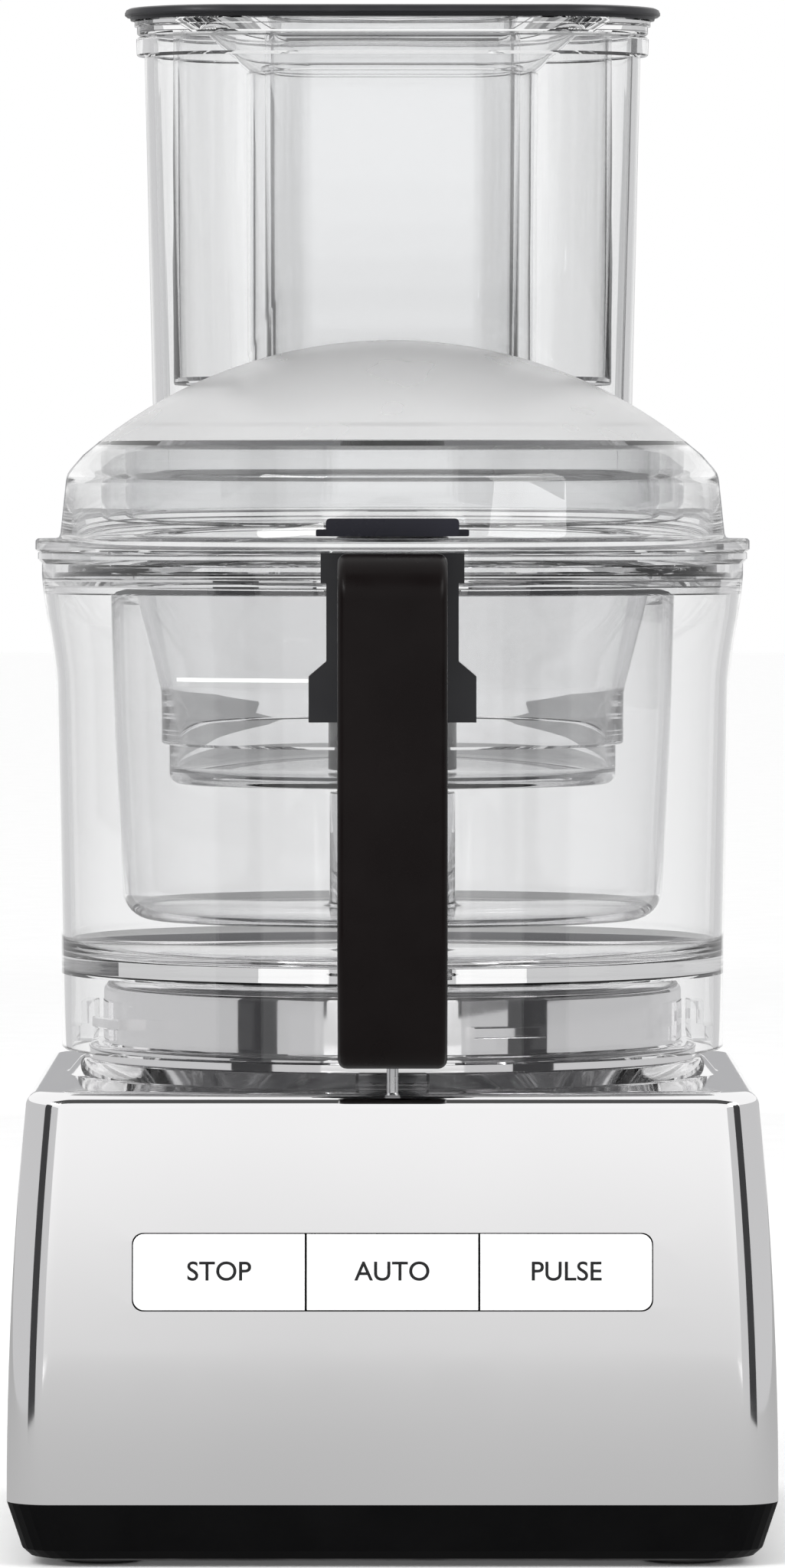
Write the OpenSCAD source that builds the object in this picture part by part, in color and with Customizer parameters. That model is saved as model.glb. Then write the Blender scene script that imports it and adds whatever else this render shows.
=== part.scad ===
// Food processor: chromed block base with a vertical direct-drive motor, three nested clear bowls,
// a domed lid with a wide oval feed tube, and a pusher that carries a smaller pusher inside it.
// The spindle's axis is vertical. The worktop is z = 0 and the front with the keys faces -Y.

/* [Base] */
// How far the housing's foot stands out beyond the bowl's skirt on the left and the right
base_side = 11.7; // [8:0.1:30]
// How far the housing's foot stands out beyond the bowl's skirt at the front and the back
base_end = 17; // [15:0.5:35]
// How far the middle of the base lies behind the spindle
base_back = 1.5; // [0:0.5:4]
// How far the spindle lies behind the middle of the whole appliance's footprint
spindle_back = 13; // [5:0.5:20]
// How far each side draws in from the foot to the top edge
base_lean = 5; // [0:0.5:8]
// Height of the housing's lower edge above the worktop
housing_z = 17.3; // [12:0.1:20]
// Height of the housing's flat top above the worktop
top_z = 126.7; // [120:0.1:150]
// Radius of the housing's upright corners
corner_r = 12; // [8:0.5:20]
// Radius around the housing's top edge
edge_r = 4; // [2:0.5:6]
// Wall of the metal housing
housing_wall = 2.5; // [1.5:0.1:4]
// Height of the round swelling under the collar
swell_h = 4.5; // [2:0.5:6]
// How far inside the bowl's skirt the swelling meets the flat top
swell_in = 1.5; // [0:0.1:4]
// Wall of the bottom tray
tray_wall = 3; // [2:0.1:4]
// How far the tray draws in on each side down to its bottom radius
tray_lean = 3.2; // [1:0.2:6]
// Radius around the tray's bottom
tray_r = 6; // [3:0.5:8]
// Height of the tray's screw bosses above its edge
lip_h = 4; // [2:0.5:8]
// Radius of a rubber foot
foot_r = 11; // [8:0.5:14]
// How far the feet hold the tray off the worktop
foot_stand = 1.5; // [1:0.1:4]
// Distance of a foot's centre inside the base's sides
foot_inset = 25; // [22:1:40]

/* [Collar] */
// How far the collar stands inside the bowl's skirt
collar_in = 11.5; // [10.5:0.1:16]
// Height of the collar above the swelling
collar_h = 21.6; // [16:0.2:30]
// Wall of the collar
collar_wall = 2.5; // [2:0.1:4]
// How far the collar's foot ring stands out
collar_foot = 4; // [2:0.5:5]
// Height of the collar's foot ring
collar_foot_h = 4; // [2:0.5:6]
// How far a bayonet ear stands out of the collar
ear_out = 4.5; // [3:0.5:5]
// Height of a bayonet ear above the collar's foot
ear_z = 9; // [7:0.5:12]
// Thickness of a bayonet ear
ear_t = 3; // [2:0.5:4]
// Angle that a bayonet ear or lug spans
lug_angle = 14; // [8:1:18]
// How far the ears are turned from the bowl's lugs
ear_turn = 22; // [20:1:45]
// Height of a bayonet lug's foot
lug_h = 4; // [2:0.5:5]

/* [Keys] */
// Width of the three keys together
keys_w = 138.2; // [110:0.2:150]
// Height of the keys
keys_h = 20.3; // [16:0.1:26]
// Height of the keys' middle above the worktop
keys_z = 79.3; // [60:0.1:90]
// Corner radius of the row of keys
keys_r = 3; // [1:0.5:6]
// Gap between neighbouring keys
key_gap = 0.5; // [0.4:0.1:1]
// Travel of a key
key_travel = 1.5; // [1:0.1:2]

/* [Motor] */
// Radius of the stator's laminations
stator_r = 50; // [45:1:55]
// Height of the stator
stator_h = 42; // [36:1:46]
// Height of the stator's lower face above the worktop
stator_z = 47; // [44:1:50]
// Radius of the rotor
rotor_r = 31; // [26:0.5:34]
// Gap between the rotor and the stator
air_gap = 0.4; // [0.3:0.1:1]
// Number of winding slots
slots = 12; // [6:1:18]
// Height of the winding's end turns
end_turn_h = 11; // [8:0.5:12]
// Radius of the shaft in the motor
shaft_r = 5; // [4:0.1:6]
// Outer radius of a ball bearing
bearing_r = 13; // [11:0.5:15]
// Width of a ball bearing
bearing_w = 8; // [6:0.5:9]
// Number of balls in a bearing
balls = 8; // [6:1:10]
// Radius of a motor bolt
bolt_r = 2.2; // [1.5:0.1:3]
// Distance of each motor bolt from the spindle, along X and along Y
bolt_at = 42; // [40:0.5:48]
// Radius of the motor's capacitor
capacitor_r = 17; // [12:0.5:18]
// Length of the motor's capacitor
capacitor_l = 62; // [40:1:70]

/* [Spindle] */
// Radius of the spindle above the motor
spindle_r = 6.5; // [5.5:0.1:7.5]
// Distance across the spindle's two drive flats
spindle_flat = 10.4; // [8:0.1:11]
// Length of the spindle's tip that drives the blade's hub
drive_l = 15.4; // [8:0.1:20]

/* [Main bowl] */
// Gap between the collar and the bowl's floor
bowl_gap = 2.4; // [1:0.1:5]
// Thickness of the bowl's floor
bowl_floor = 3.8; // [2.5:0.1:5]
// Height of the bowl from the underside of its floor to its rim
bowl_h = 115.5; // [110:0.5:160]
// Outer radius of the skirt around the collar
skirt_r = 91.5; // [90:0.1:100]
// How far the skirt hangs below the bowl's floor
skirt_drop = 21.7; // [15:0.1:22]
// Wall of the bowl
bowl_wall = 2.6; // [2:0.1:3]
// Growth of the bowl's radius up to where it flares
bowl_grow = 1.5; // [0:0.1:3]
// Growth of the bowl's radius across the flare
flare = 3.9; // [2:0.1:6]
// Height of the flare below the rim
flare_h = 36; // [25:1:50]
// How far the bowl's rim stands out beyond its wall
rim_out = 1.1; // [0.5:0.1:4]
// Thickness of the bowl's rim
rim_t = 2.5; // [2:0.1:4]
// Depth of the ledge that carries the inner bowls below the rim
ledge_drop = 7.5; // [6:0.5:8]
// Outer radius of the main bowl's chimney
chimney_r = 14.5; // [12:0.1:15]
// Height of the main bowl's chimney above its floor
chimney_h = 40; // [30:1:44]

/* [Inner bowls] */
// Depth of the middle bowl below its rim
midi_d = 94; // [80:1:96]
// How far the middle bowl's side stands inside the main bowl's skirt
midi_in = 13.5; // [10:0.1:20]
// How much narrower the middle bowl is at its foot
midi_taper = 3.4; // [0:0.1:8]
// Corner radius at the middle bowl's foot
midi_corner = 8; // [4:0.5:14]
// Wall of the inner bowls
inner_wall = 2; // [1.5:0.1:3]
// Clear gap between one bowl's chimney and the next
chimney_gap = 0.9; // [0.5:0.1:2]
// Depth of the small bowl below its rim
mini_d = 58.6; // [50:0.2:62]
// How far the small bowl's cone stands inside the middle bowl's side under their rims
mini_in = 6.2; // [5:0.1:12]
// How much narrower the small bowl's cone is at its foot
cone_in = 7.9; // [2:0.1:14]
// Height of the cone above the small bowl's bottom
mini_band_h = 17.6; // [12:0.1:22]
// How far the small bowl's foot is set back from its ring
mini_step = 2.1; // [1:0.1:4]
// Thickness of an inner bowl's rim
inner_rim_t = 2; // [1.5:0.1:2.5]

/* [Blade] */
// Outer radius of the blade's hub
hub_r = 17.8; // [16:0.1:20]
// Height of the hub above the small bowl's floor
hub_h = 57; // [50:1:58]
// Gap between the lower blade's tip and the small bowl's wall
blade_gap = 4.8; // [2:0.1:15]
// Thickness of a blade
blade_t = 1.6; // [1:0.1:2.5]
// Height between the two blades
blade_step = 15; // [10:1:25]

/* [Lid] */
// How far the lid's flange stands out beyond the bowl's rim
flange_out = 0.7; // [0:0.1:3]
// Thickness of the lid's flange
lid_flange_t = 3.5; // [2.5:0.1:5]
// How far the lid's shoulder stands inside the bowl's wall under the rim
lid_in = 6.9; // [4:0.1:12]
// Growth of the lid's side from the shoulder down to the flange
lid_draft = 1.8; // [0:0.1:4]
// Height of the shoulder above the lid's seat
shoulder_h = 22.5; // [18:0.5:30]
// Rise of the dome above the shoulder
dome_h = 35.8; // [25:0.1:50]
// Wall of the lid
lid_wall = 2; // [1.5:0.1:3]
// Depth of the ring that centres the lid in the bowl
plug_h = 3.5; // [2:0.5:3.6]
// How far the two ribs under the dome stand inside the lid's shoulder
rib_in = [9.3, 16.1]; // [4:0.1:30]
// Thickness of a rib under the dome
rib_t = 1.6; // [1:0.1:2.5]
// Half width of the lock tab over the handle
tab_half_w = 17.6; // [12:0.1:22]
// Thickness of the lock tab
tab_t = 4.7; // [3:0.1:8]
// How far the lock tab reaches out beyond the lid's flange
tab_out = 22.3; // [14:0.1:30]

/* [Feed tube] */
// Distance of the feed tube's middle behind the spindle
tube_back = 32; // [28:0.5:40]
// Height of the feed tube's mouth above the lid's seat
tube_h = 143.3; // [110:0.1:170]
// Half width of the tube at its mouth
tube_half_w = 69.4; // [60:0.1:80]
// Half depth of the tube
tube_half_d = 27; // [22:0.1:32]
// How much narrower the tube is on each side where it meets the dome
tube_taper = 3; // [0:0.1:6]
// Wall of the feed tube
tube_wall = 2; // [1.5:0.1:3]
// How far the tube's rim stands out
tube_rim_out = 2.2; // [1:0.1:4]
// Height of the tube's rim
tube_rim_h = 5.3; // [3:0.1:10]

/* [Pushers] */
// Depth of the large pusher below the tube's mouth
pusher_d = 97.4; // [80:0.2:110]
// Gap between the tube and the large pusher
pusher_gap = 2.4; // [1:0.1:4]
// How much further the large pusher stands in from the tube's ends
pusher_end_gap = 0.6; // [0:0.1:6]
// Wall of the large pusher
pusher_wall = 1.6; // [1.2:0.1:3]
// Half width of the passage through the large pusher
passage_half_w = 38; // [25:0.1:42]
// Half depth of the passage through the large pusher
passage_half_d = 17; // [12:0.1:18]
// Wall of the passage
passage_wall = 2.3; // [1.5:0.1:3]
// Height of the funnel at the top of the passage
funnel_h = 14.5; // [8:0.5:30]
// How much wider the funnel's mouth is than the passage, on each end
funnel_out = 17; // [5:0.5:18]
// How much deeper the funnel's mouth is than the passage, front and back
funnel_deep = 4; // [1:0.5:5]
// Thickness of the pusher's cover plate
cover_t = 4.3; // [3:0.1:6]
// How far the dark rim on the pusher stands out beyond each end of the tube
crown_end = 5.4; // [3:0.1:10]
// How far the dark rim on the pusher stands out beyond the tube at the front and the back
crown_side = 3; // [3:0.1:8]
// Thickness of the dark rim on the pusher
crown_t = 3.3; // [2:0.1:6]
// Gap between the passage and the small pusher
small_gap = 0.6; // [0.3:0.1:1]
// Wall of the small pusher
small_wall = 2.4; // [1.5:0.1:3]

/* [Handle] */
// Width of the handle's grip
grip_w = 29; // [22:0.5:36]
// Thickness of the handle's grip
grip_t = 15; // [10:0.5:20]
// How far the grip's front stands out beyond the bracket's front
grip_out = 34; // [24:0.5:45]
// Height of the handle's upper arm
arm_h = 22; // [15:0.5:30]
// Height of the handle's lower arm
lower_arm_h = 15; // [10:0.5:24]
// Radius of the handle's outer bends
bend_r = 12; // [6:0.5:14]
// How far the handle's lower end leans back towards the bowl
lower_lean = 22; // [10:1:30]
// How far the bracket's front stands out beyond the bowl's rim
bracket_out = 8; // [7:0.5:14]
// Height of the bracket
bracket_h = 45; // [35:0.5:60]
// Half width of the bracket's neck
bracket_half_w = 17.6; // [15:0.1:24]
// How far the bracket's lower part stands out beyond its neck
bracket_step = 4.7; // [0:0.1:8]
// Half width of the rod's guide below the bracket
guide_half_w = 5.5; // [5:0.5:8]
// Width of the safety rod
rod_w = 4; // [3:0.5:5]
// Travel of the safety rod
rod_travel = 3; // [2:0.1:4]

/* [Fits] */
// Side gap around pieces that slide, such as keys and rods
slide_gap = 0.3; // [0.2:0.05:0.6]
// Radial gap of a running fit
run_gap = 0.05; // [0.02:0.01:0.1]
// Gap between pieces that are fixed to each other
seat_gap = 0.05; // [0:0.01:0.2]
// Gap between a bowl's side and the piece that drops into it
drop_gap = 0.5; // [0.3:0.1:1]

/* [Hidden] */
$fn = 96;
slice_t = 0.01;
bore_over = 1;
base_w = 2 * (skirt_r + base_side);
base_d = 2 * (skirt_r + base_end);
swell_r = skirt_r - swell_in;
collar_r = skirt_r - collar_in;
tray_z = foot_stand;
collar_z = top_z + swell_h;
collar_top = collar_z + collar_h;
bowl_z = collar_top + bowl_gap;
floor_z = bowl_z + bowl_floor;
rim_z = bowl_z + bowl_h;
lug_z = collar_z + collar_foot_h + drop_gap;
flare_z = rim_z - flare_h;
flare_r = skirt_r + bowl_grow;
rim_base_z = rim_z - rim_t;
wall_top_r = flare_r + flare;
rim_r = wall_top_r + rim_out;
bowl_bore_r = wall_top_r - bowl_wall;
ledge_z = rim_z - ledge_drop;
midi_r = skirt_r - midi_in;
midi_rim_z = ledge_z + inner_rim_t;
midi_z = ledge_z - midi_d;
midi_chimney_r = chimney_r + chimney_gap + inner_wall;
mini_r = midi_r - mini_in;
mini_cone_r = mini_r - cone_in;
mini_foot_r = mini_cone_r - mini_step;
mini_z = midi_rim_z - mini_d;
mini_rim_z = midi_rim_z + inner_rim_t;
mini_floor_z = mini_z + inner_wall;
mini_chimney_in = spindle_r + 2.5;
mini_chimney_out = mini_chimney_in + inner_wall;
mini_chimney_h = 32;
mini_rim_r = bowl_bore_r - drop_gap - 4;
blade_reach = mini_foot_r - inner_wall - blade_gap;
lid_flange_r = rim_r + flange_out;
lid_r = wall_top_r - lid_in;
tab_reach = lid_flange_r + tab_out;
lid_z = rim_z;
shoulder_z = lid_z + shoulder_h;
dome_top = shoulder_z + dome_h;
dome_r = (pow(lid_r, 2) + pow(dome_h, 2)) / (2 * dome_h);
tube_top = lid_z + tube_h;
pusher_z = tube_top - pusher_d;
cover_z = tube_top + slide_gap;
crown_z = cover_z + cover_t;
funnel_z = crown_z - funnel_h;
pusher_half_d = tube_half_d - tube_wall - pusher_gap;
crown_half_w = tube_half_w + crown_end;
crown_half_d = tube_half_d + crown_side;
bracket_front = rim_r + bracket_out;
grip_front = bracket_front + grip_out;
hub_z = mini_floor_z + 1;
hub_top = hub_z + hub_h;
socket_z = mini_floor_z + mini_chimney_h + 3;
spindle_top = socket_z + drive_l;
key_front_y = base_back - base_d / 2;
key_w = (keys_w - 2 * key_gap) / 3;
stator_top = stator_z + stator_h;
lower_shield_z = stator_z - end_turn_h - 9;
upper_shield_z = stator_top + end_turn_h + 4;
shield_t = 4;
board_y = key_front_y + 19;
switch_d = 6.5;
gland_x = -40;
gland_z = 34;
gland_bore_r = 3.6;
pin_y = -skirt_r - 3;
pin_r = 1.6;
rod_y = -rim_r - 2.5;
rod_d = 3.8;
rod_foot_h = 5;
pin_top = bowl_z - skirt_drop + 4;
rod_bottom = pin_top + 0.4;
guide_z = rod_bottom + rod_foot_h + rod_travel;
spring_z = rim_z - bracket_h + 4;
spring_h = 14;
spring_r = 3.6;
spring_wire = 0.5;
spring_turns = 5;
spring_pocket_r = spring_r + spring_wire + slide_gap;
handle_bottom = bowl_z - skirt_drop + 0.8;

// Everything is drawn about the spindle, which stands behind the middle of the footprint.
module about_spindle() {
  translate([0, spindle_back, 0]) children();
}

// Draw-in of the housing's sides at a height
function lean_at(z) = base_lean * pow((z - housing_z) / (top_z - edge_r - housing_z), 2);

// One level of the base's rounded-square plan, drawn in by inset
module plan_slice(inset, z, r = corner_r) {
  for (x = [-1, 1], y = [-1, 1])
    translate([x * (base_w / 2 - inset - r), base_back + y * (base_d / 2 - inset - r), z])
      cylinder(r = r, h = slice_t, $fn = 24);
}

// The housing's convex block, drawn in by inset, between two heights
module housing_block(inset, low, high) {
  side_h = high - edge_r - low;
  edge_lean = lean_at(high - edge_r);
  hull() {
    for (s = [0:1 / 6:1])
      plan_slice(inset + lean_at(low + s * side_h), low + s * side_h);
    for (a = [30:30:90])
      plan_slice(inset + edge_lean + edge_r * (1 - cos(a)), high - edge_r + edge_r * sin(a),
        corner_r - edge_r * (1 - cos(a)));
  }
}

// The tray's outline, drawn in by inset, from its bottom radius up to high
module tray_block(inset, low, high) {
  hull() {
    plan_slice(inset, high);
    for (a = [0:30:90])
      plan_slice(inset + tray_lean + tray_r * (1 - cos(a)), low + tray_r * (1 - sin(a)));
  }
}

// A flat oval with straight sides, which is exact
module oval(half_w, half_d) {
  square([2 * (half_w - half_d), 2 * half_d], center = true);
  for (x = [-1, 1])
    translate([x * (half_w - half_d), 0]) circle(r = half_d);
}

// A rectangle with rounded corners, which is exact
module rounded_rect(w, h, r) {
  square([w - 2 * r, h], center = true);
  square([w, h - 2 * r], center = true);
  for (x = [-1, 1], y = [-1, 1])
    translate([x * (w / 2 - r), y * (h / 2 - r)]) circle(r = r);
}

module rod_at(x, y, z, r, h) {
  translate([x, y, z]) cylinder(r = r, h = h);
}

module ring(outer, inner, z, h) {
  translate([0, 0, z])
    rotate_extrude() translate([inner, 0]) square([outer - inner, h]);
}

// An arc of a ring around the spindle, centred on an angle
module ring_arc(outer, inner, z, h, at, span) {
  rotate([0, 0, at - span / 2]) translate([0, 0, z])
    rotate_extrude(angle = span) translate([inner, 0]) square([outer - inner, h]);
}

module four(x, y) {
  for (i = [-1, 1], j = [-1, 1]) translate([i * x, j * y, 0]) children();
}

// ---- base ----

tray_post_x = base_w / 2 - 15;
tray_post_y = 45;
tray_post_r = 5.5;
screw_r = 1.9;
screw_head_r = 3.6;
screw_head_h = 3;
head_seat_z = tray_z + 6.5;
shaft_hole_r = shaft_r + 9;
motor_post_r = 6;
mount_h = 3;

module key_prism(w, h, y, d) {
  translate([0, y + d, keys_z]) rotate([90, 0, 0])
    linear_extrude(height = d) rounded_rect(w, h, keys_r);
}

module housing() {
  color("gainsboro") about_spindle() difference() {
    union() {
      difference() {
        housing_block(0, housing_z, top_z);
        housing_block(housing_wall, housing_z - bore_over, top_z - housing_wall);
      }
      rotate_extrude() polygon([
        [shaft_hole_r, collar_z - housing_wall], [shaft_hole_r, collar_z],
        [collar_r + collar_foot + 1, collar_z], [swell_r, top_z], [swell_r, top_z - housing_wall],
        [collar_r, top_z - housing_wall], [collar_r, collar_z - housing_wall]]);
      four(bolt_at, bolt_at) rod_at(0, 0, upper_shield_z + shield_t + mount_h, motor_post_r,
        collar_z - 1 - upper_shield_z - shield_t - mount_h);
      translate([0, base_back, 0]) four(tray_post_x, tray_post_y) {
        rod_at(0, 0, housing_z + lip_h + 1, tray_post_r, 30);
      }
      for (x = [-1, 1], y = [-1, 1])
        translate([x > 0 ? tray_post_x : -base_w / 2 + base_lean / 2, base_back + y * tray_post_y - 1.5,
          housing_z + lip_h + 1])
          cube([base_w / 2 - base_lean / 2 - tray_post_x, 3, 28]);
      for (x = [-1, 1], z = [-1, 1])
        translate([x * (keys_w / 2 + 7), board_y, keys_z + z * 14]) rotate([90, 0, 0])
          cylinder(r = 3.5, h = board_y - key_front_y - 3);
    }
    // the hollow dome under the swelling
    rod_at(0, 0, top_z - housing_wall - 1, shaft_hole_r, 20);
    difference() {
      rod_at(0, 0, top_z - housing_wall - 1, collar_r, swell_h + 1);
      four(bolt_at, bolt_at) rod_at(0, 0, 0, motor_post_r, collar_z);
    }
    key_prism(keys_w + 2 * slide_gap, keys_h + 2 * slide_gap, key_front_y - 5, 12);
    four(bolt_at, bolt_at) rod_at(0, 0, 0, bolt_r + seat_gap, upper_shield_z + shield_t + mount_h + 9);
    translate([0, base_back, 0]) four(tray_post_x, tray_post_y)
      rod_at(0, 0, 0, screw_r + seat_gap, head_seat_z + 22);
    for (x = [-1, 1], z = [-1, 1])
      translate([x * (keys_w / 2 + 7), board_y + 1, keys_z + z * 14]) rotate([90, 0, 0])
        cylinder(r = 1.2 + seat_gap, h = 10);
    translate([gland_x, base_back + base_d / 2 + 5, gland_z]) rotate([90, 0, 0])
      cylinder(r = gland_bore_r + 4 + seat_gap, h = 12);
    rod_at(0, pin_y, top_z - 10, pin_r + slide_gap, 20);
  }
}

module base_tray() {
  color("black") about_spindle() difference() {
    union() {
      difference() {
        tray_block(0, tray_z, housing_z - slice_t);
        tray_block(tray_wall, tray_z + tray_wall, housing_z + bore_over);
      }
      translate([0, base_back, 0]) four(tray_post_x, tray_post_y)
        rod_at(0, 0, tray_z + 1, tray_post_r + 1.5, housing_z + lip_h - tray_z - 1);
    }
    translate([0, base_back, 0]) {
      four(tray_post_x, tray_post_y) {
        rod_at(0, 0, 0, screw_head_r + 0.5, head_seat_z);
        rod_at(0, 0, 0, screw_r + 0.3, housing_z + lip_h + 5);
      }
      four(base_w / 2 - foot_inset, base_d / 2 - foot_inset) rod_at(0, 0, 0, 3, 10);
    }
    // cooling slots under the motor
    for (i = [-5:5])
      translate([i * 9 - 1.75, -30, 0]) cube([3.5, 60, tray_z + tray_wall + 1]);
  }
}

module feet() {
  color("dimgray") about_spindle() translate([0, base_back, 0])
    four(base_w / 2 - foot_inset, base_d / 2 - foot_inset) {
      rotate_extrude() polygon([[0, 0], [foot_r - 1, 0], [foot_r, 0.6], [foot_r, foot_stand],
        [3 - seat_gap, foot_stand], [3 - seat_gap, foot_stand + tray_wall], [4.2, foot_stand + tray_wall],
        [2.6, foot_stand + tray_wall + 3], [0, foot_stand + tray_wall + 3]]);
    }
}

module tray_screws() {
  color("silver") about_spindle() translate([0, base_back, 0]) four(tray_post_x, tray_post_y) {
    difference() {
      union() {
        rod_at(0, 0, head_seat_z - screw_head_h, screw_head_r, screw_head_h);
        rod_at(0, 0, head_seat_z - 1, screw_r, 20);
      }
      for (a = [0, 90]) rotate([0, 0, a])
        translate([-2.2, -0.5, head_seat_z - screw_head_h - 1]) cube([4.4, 1, 2.4]);
    }
  }
}

module cable_gland() {
  wall_y = base_back + base_d / 2;
  color("black") about_spindle() translate([gland_x, 0, gland_z]) difference() {
    translate([0, wall_y + 4, 0]) rotate([90, 0, 0]) union() {
      cylinder(r = gland_bore_r + 6, h = 3.8);
      cylinder(r = gland_bore_r + 4, h = 12);
      translate([0, 0, 9]) cylinder(r = gland_bore_r + 6, h = 3);
    }
    translate([0, wall_y + 5, 0]) rotate([90, 0, 0]) cylinder(r = gland_bore_r, h = 14);
  }
}

module bowl_collar() {
  color("silver") about_spindle() {
    foot_out = collar_r + collar_foot;
    rotate_extrude() polygon([
      [collar_r - collar_wall, collar_z], [foot_out, collar_z], [foot_out, collar_z + collar_foot_h - 1],
      [foot_out - 1, collar_z + collar_foot_h], [collar_r, collar_z + collar_foot_h],
      [collar_r, collar_top - 3],
      for (a = [15:15:90]) [collar_r - 3 + 3 * cos(a), collar_top - 3 + 3 * sin(a)],
      [shaft_hole_r, collar_top], [shaft_hole_r, collar_top - collar_wall],
      [collar_r - collar_wall, collar_top - collar_wall]]);
    for (a = [0:90:270])
      ring_arc(collar_r + ear_out, collar_r - 1, collar_z + ear_z, ear_t, a + ear_turn, lug_angle);
  }
}

module shaft_seal() {
  color("black") about_spindle() rotate_extrude() polygon([
    [spindle_r + run_gap, collar_z - 2], [spindle_r + run_gap, collar_z + 3], [spindle_r + 3, collar_z + 3],
    [spindle_r + 5, collar_z + 1.5], [shaft_hole_r + 2, collar_z + 1.5], [shaft_hole_r + 2, collar_z + seat_gap],
    [shaft_hole_r - seat_gap, collar_z + seat_gap], [shaft_hole_r - seat_gap, collar_z - 2]]);
}

// ---- motor ----

slot_in = rotor_r + air_gap + 2.5;
slot_out = slot_in + 9;
slot_w = 5;

module slot_bars(grow, z, h) {
  for (i = [0:slots - 1]) rotate([0, 0, i * 360 / slots])
    translate([slot_in - grow, -slot_w / 2 - grow, z]) cube([slot_out - slot_in + 2 * grow, slot_w + 2 * grow, h]);
}

module stator_core() {
  color("slategray") about_spindle() difference() {
    rod_at(0, 0, stator_z, stator_r, stator_h);
    rod_at(0, 0, stator_z - 1, rotor_r + air_gap, stator_h + 2);
    slot_bars(0.2, stator_z - 1, stator_h + 2);
  }
}

module windings() {
  color("chocolate") about_spindle() {
    slot_bars(0, stator_z - 1, stator_h + 2);
    for (z = [stator_z - end_turn_h, stator_top + 0.2])
      ring(slot_out + 1, slot_in - 1, z, end_turn_h - 0.2);
  }
}

module end_shield(z, pocket_z) {
  difference() {
    union() {
      translate([0, 0, z]) linear_extrude(height = shield_t)
        rounded_rect(2 * bolt_at + 14, 2 * bolt_at + 14, 7);
      rod_at(0, 0, min(z, pocket_z - 1), bearing_r + 3, max(z + shield_t, pocket_z + bearing_w + 1)
        - min(z, pocket_z - 1));
    }
    rod_at(0, 0, z - 20, shaft_r + 2, 60);
    rod_at(0, 0, pocket_z, bearing_r + seat_gap, bearing_w);
    four(bolt_at, bolt_at) rod_at(0, 0, z - 1, bolt_r + 0.3, shield_t + 2);
    // openings that let the cooling air through
    for (i = [0:7]) rotate([0, 0, i * 45]) translate([bearing_r + 11, 0, z - 1])
      cylinder(r = 5, h = shield_t + 2);
  }
}

upper_pocket_z = upper_shield_z - 3.5;
lower_pocket_z = lower_shield_z + 1;

module lower_end_shield() {
  color("lightsteelblue") about_spindle() end_shield(lower_shield_z, lower_pocket_z);
}

module upper_end_shield() {
  color("lightsteelblue") about_spindle() end_shield(upper_shield_z, upper_pocket_z);
}

module motor_bolts() {
  color("silver") about_spindle() four(bolt_at, bolt_at) {
    rod_at(0, 0, lower_shield_z - 3, bolt_r * 1.8, 3 - seat_gap);
    rod_at(0, 0, lower_shield_z - 1, bolt_r, upper_shield_z + shield_t + mount_h + 9 - lower_shield_z);
  }
}

module motor_mounts() {
  color("dimgray") about_spindle() four(bolt_at, bolt_at) {
    ring(bolt_r * 1.7, bolt_r + 0.1, lower_shield_z + shield_t + seat_gap,
      upper_shield_z - lower_shield_z - shield_t - 2 * seat_gap);
    ring(motor_post_r, bolt_r + 0.1, upper_shield_z + shield_t + seat_gap, mount_h - 2 * seat_gap);
  }
}

ball_r = (bearing_r - shaft_r) * 0.3;
ball_track_r = (bearing_r + shaft_r) / 2;

// Half of a ball race, cut by the groove that the balls run in
module race(outer, inner, z) {
  difference() {
    ring(outer, inner, z, bearing_w);
    translate([0, 0, z + bearing_w / 2]) rotate_extrude() translate([ball_track_r, 0]) circle(r = ball_r + run_gap);
  }
}

module bearing_outer_races() {
  color("silver") about_spindle() for (z = [lower_pocket_z, upper_pocket_z])
    race(bearing_r, ball_track_r + ball_r * 0.6, z);
}

module bearing_inner_races() {
  color("silver") about_spindle() for (z = [lower_pocket_z, upper_pocket_z])
    race(ball_track_r - ball_r * 0.6, shaft_r + seat_gap, z);
}

module bearing_balls() {
  color("white") about_spindle() for (z = [lower_pocket_z, upper_pocket_z], i = [0:balls - 1])
    rotate([0, 0, i * 360 / balls]) translate([ball_track_r, 0, z + bearing_w / 2]) sphere(r = ball_r, $fn = 32);
}

module run_capacitor() {
  color("whitesmoke") about_spindle() translate([-base_w / 2 + capacitor_r + 13, base_d / 2 - capacitor_r - 14, 0]) {
    rod_at(0, 0, housing_z + 8, capacitor_r, capacitor_l);
    for (x = [-6, 6]) translate([x - 0.4, -3, housing_z + 7 + capacitor_l]) cube([0.8, 6, 9]);
  }
}

module control_board() {
  color("darkgreen") about_spindle() difference() {
    union() {
      translate([-keys_w / 2 - 11, board_y + seat_gap, keys_z - 18]) cube([keys_w + 22, 1.6, 36]);
      // relay, film capacitor and terminal block
      translate([-50, board_y + 1, keys_z - 12]) cube([20, 14, 16]);
      translate([-8, board_y + 1, keys_z - 14]) cube([14, 9, 10]);
      translate([30, board_y + 1, keys_z - 15]) cube([24, 11, 12]);
    }
    for (x = [-1, 1], z = [-1, 1])
      translate([x * (keys_w / 2 + 7), board_y + 3, keys_z + z * 14]) rotate([90, 0, 0])
        cylinder(r = 1.5, h = 5);
  }
}

module key_switches() {
  color("black") about_spindle() for (i = [-1:1]) translate([i * (key_w + key_gap), board_y, keys_z]) {
    translate([-6, -switch_d, -6]) cube([12, switch_d - seat_gap, 12]);
  }
}

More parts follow.
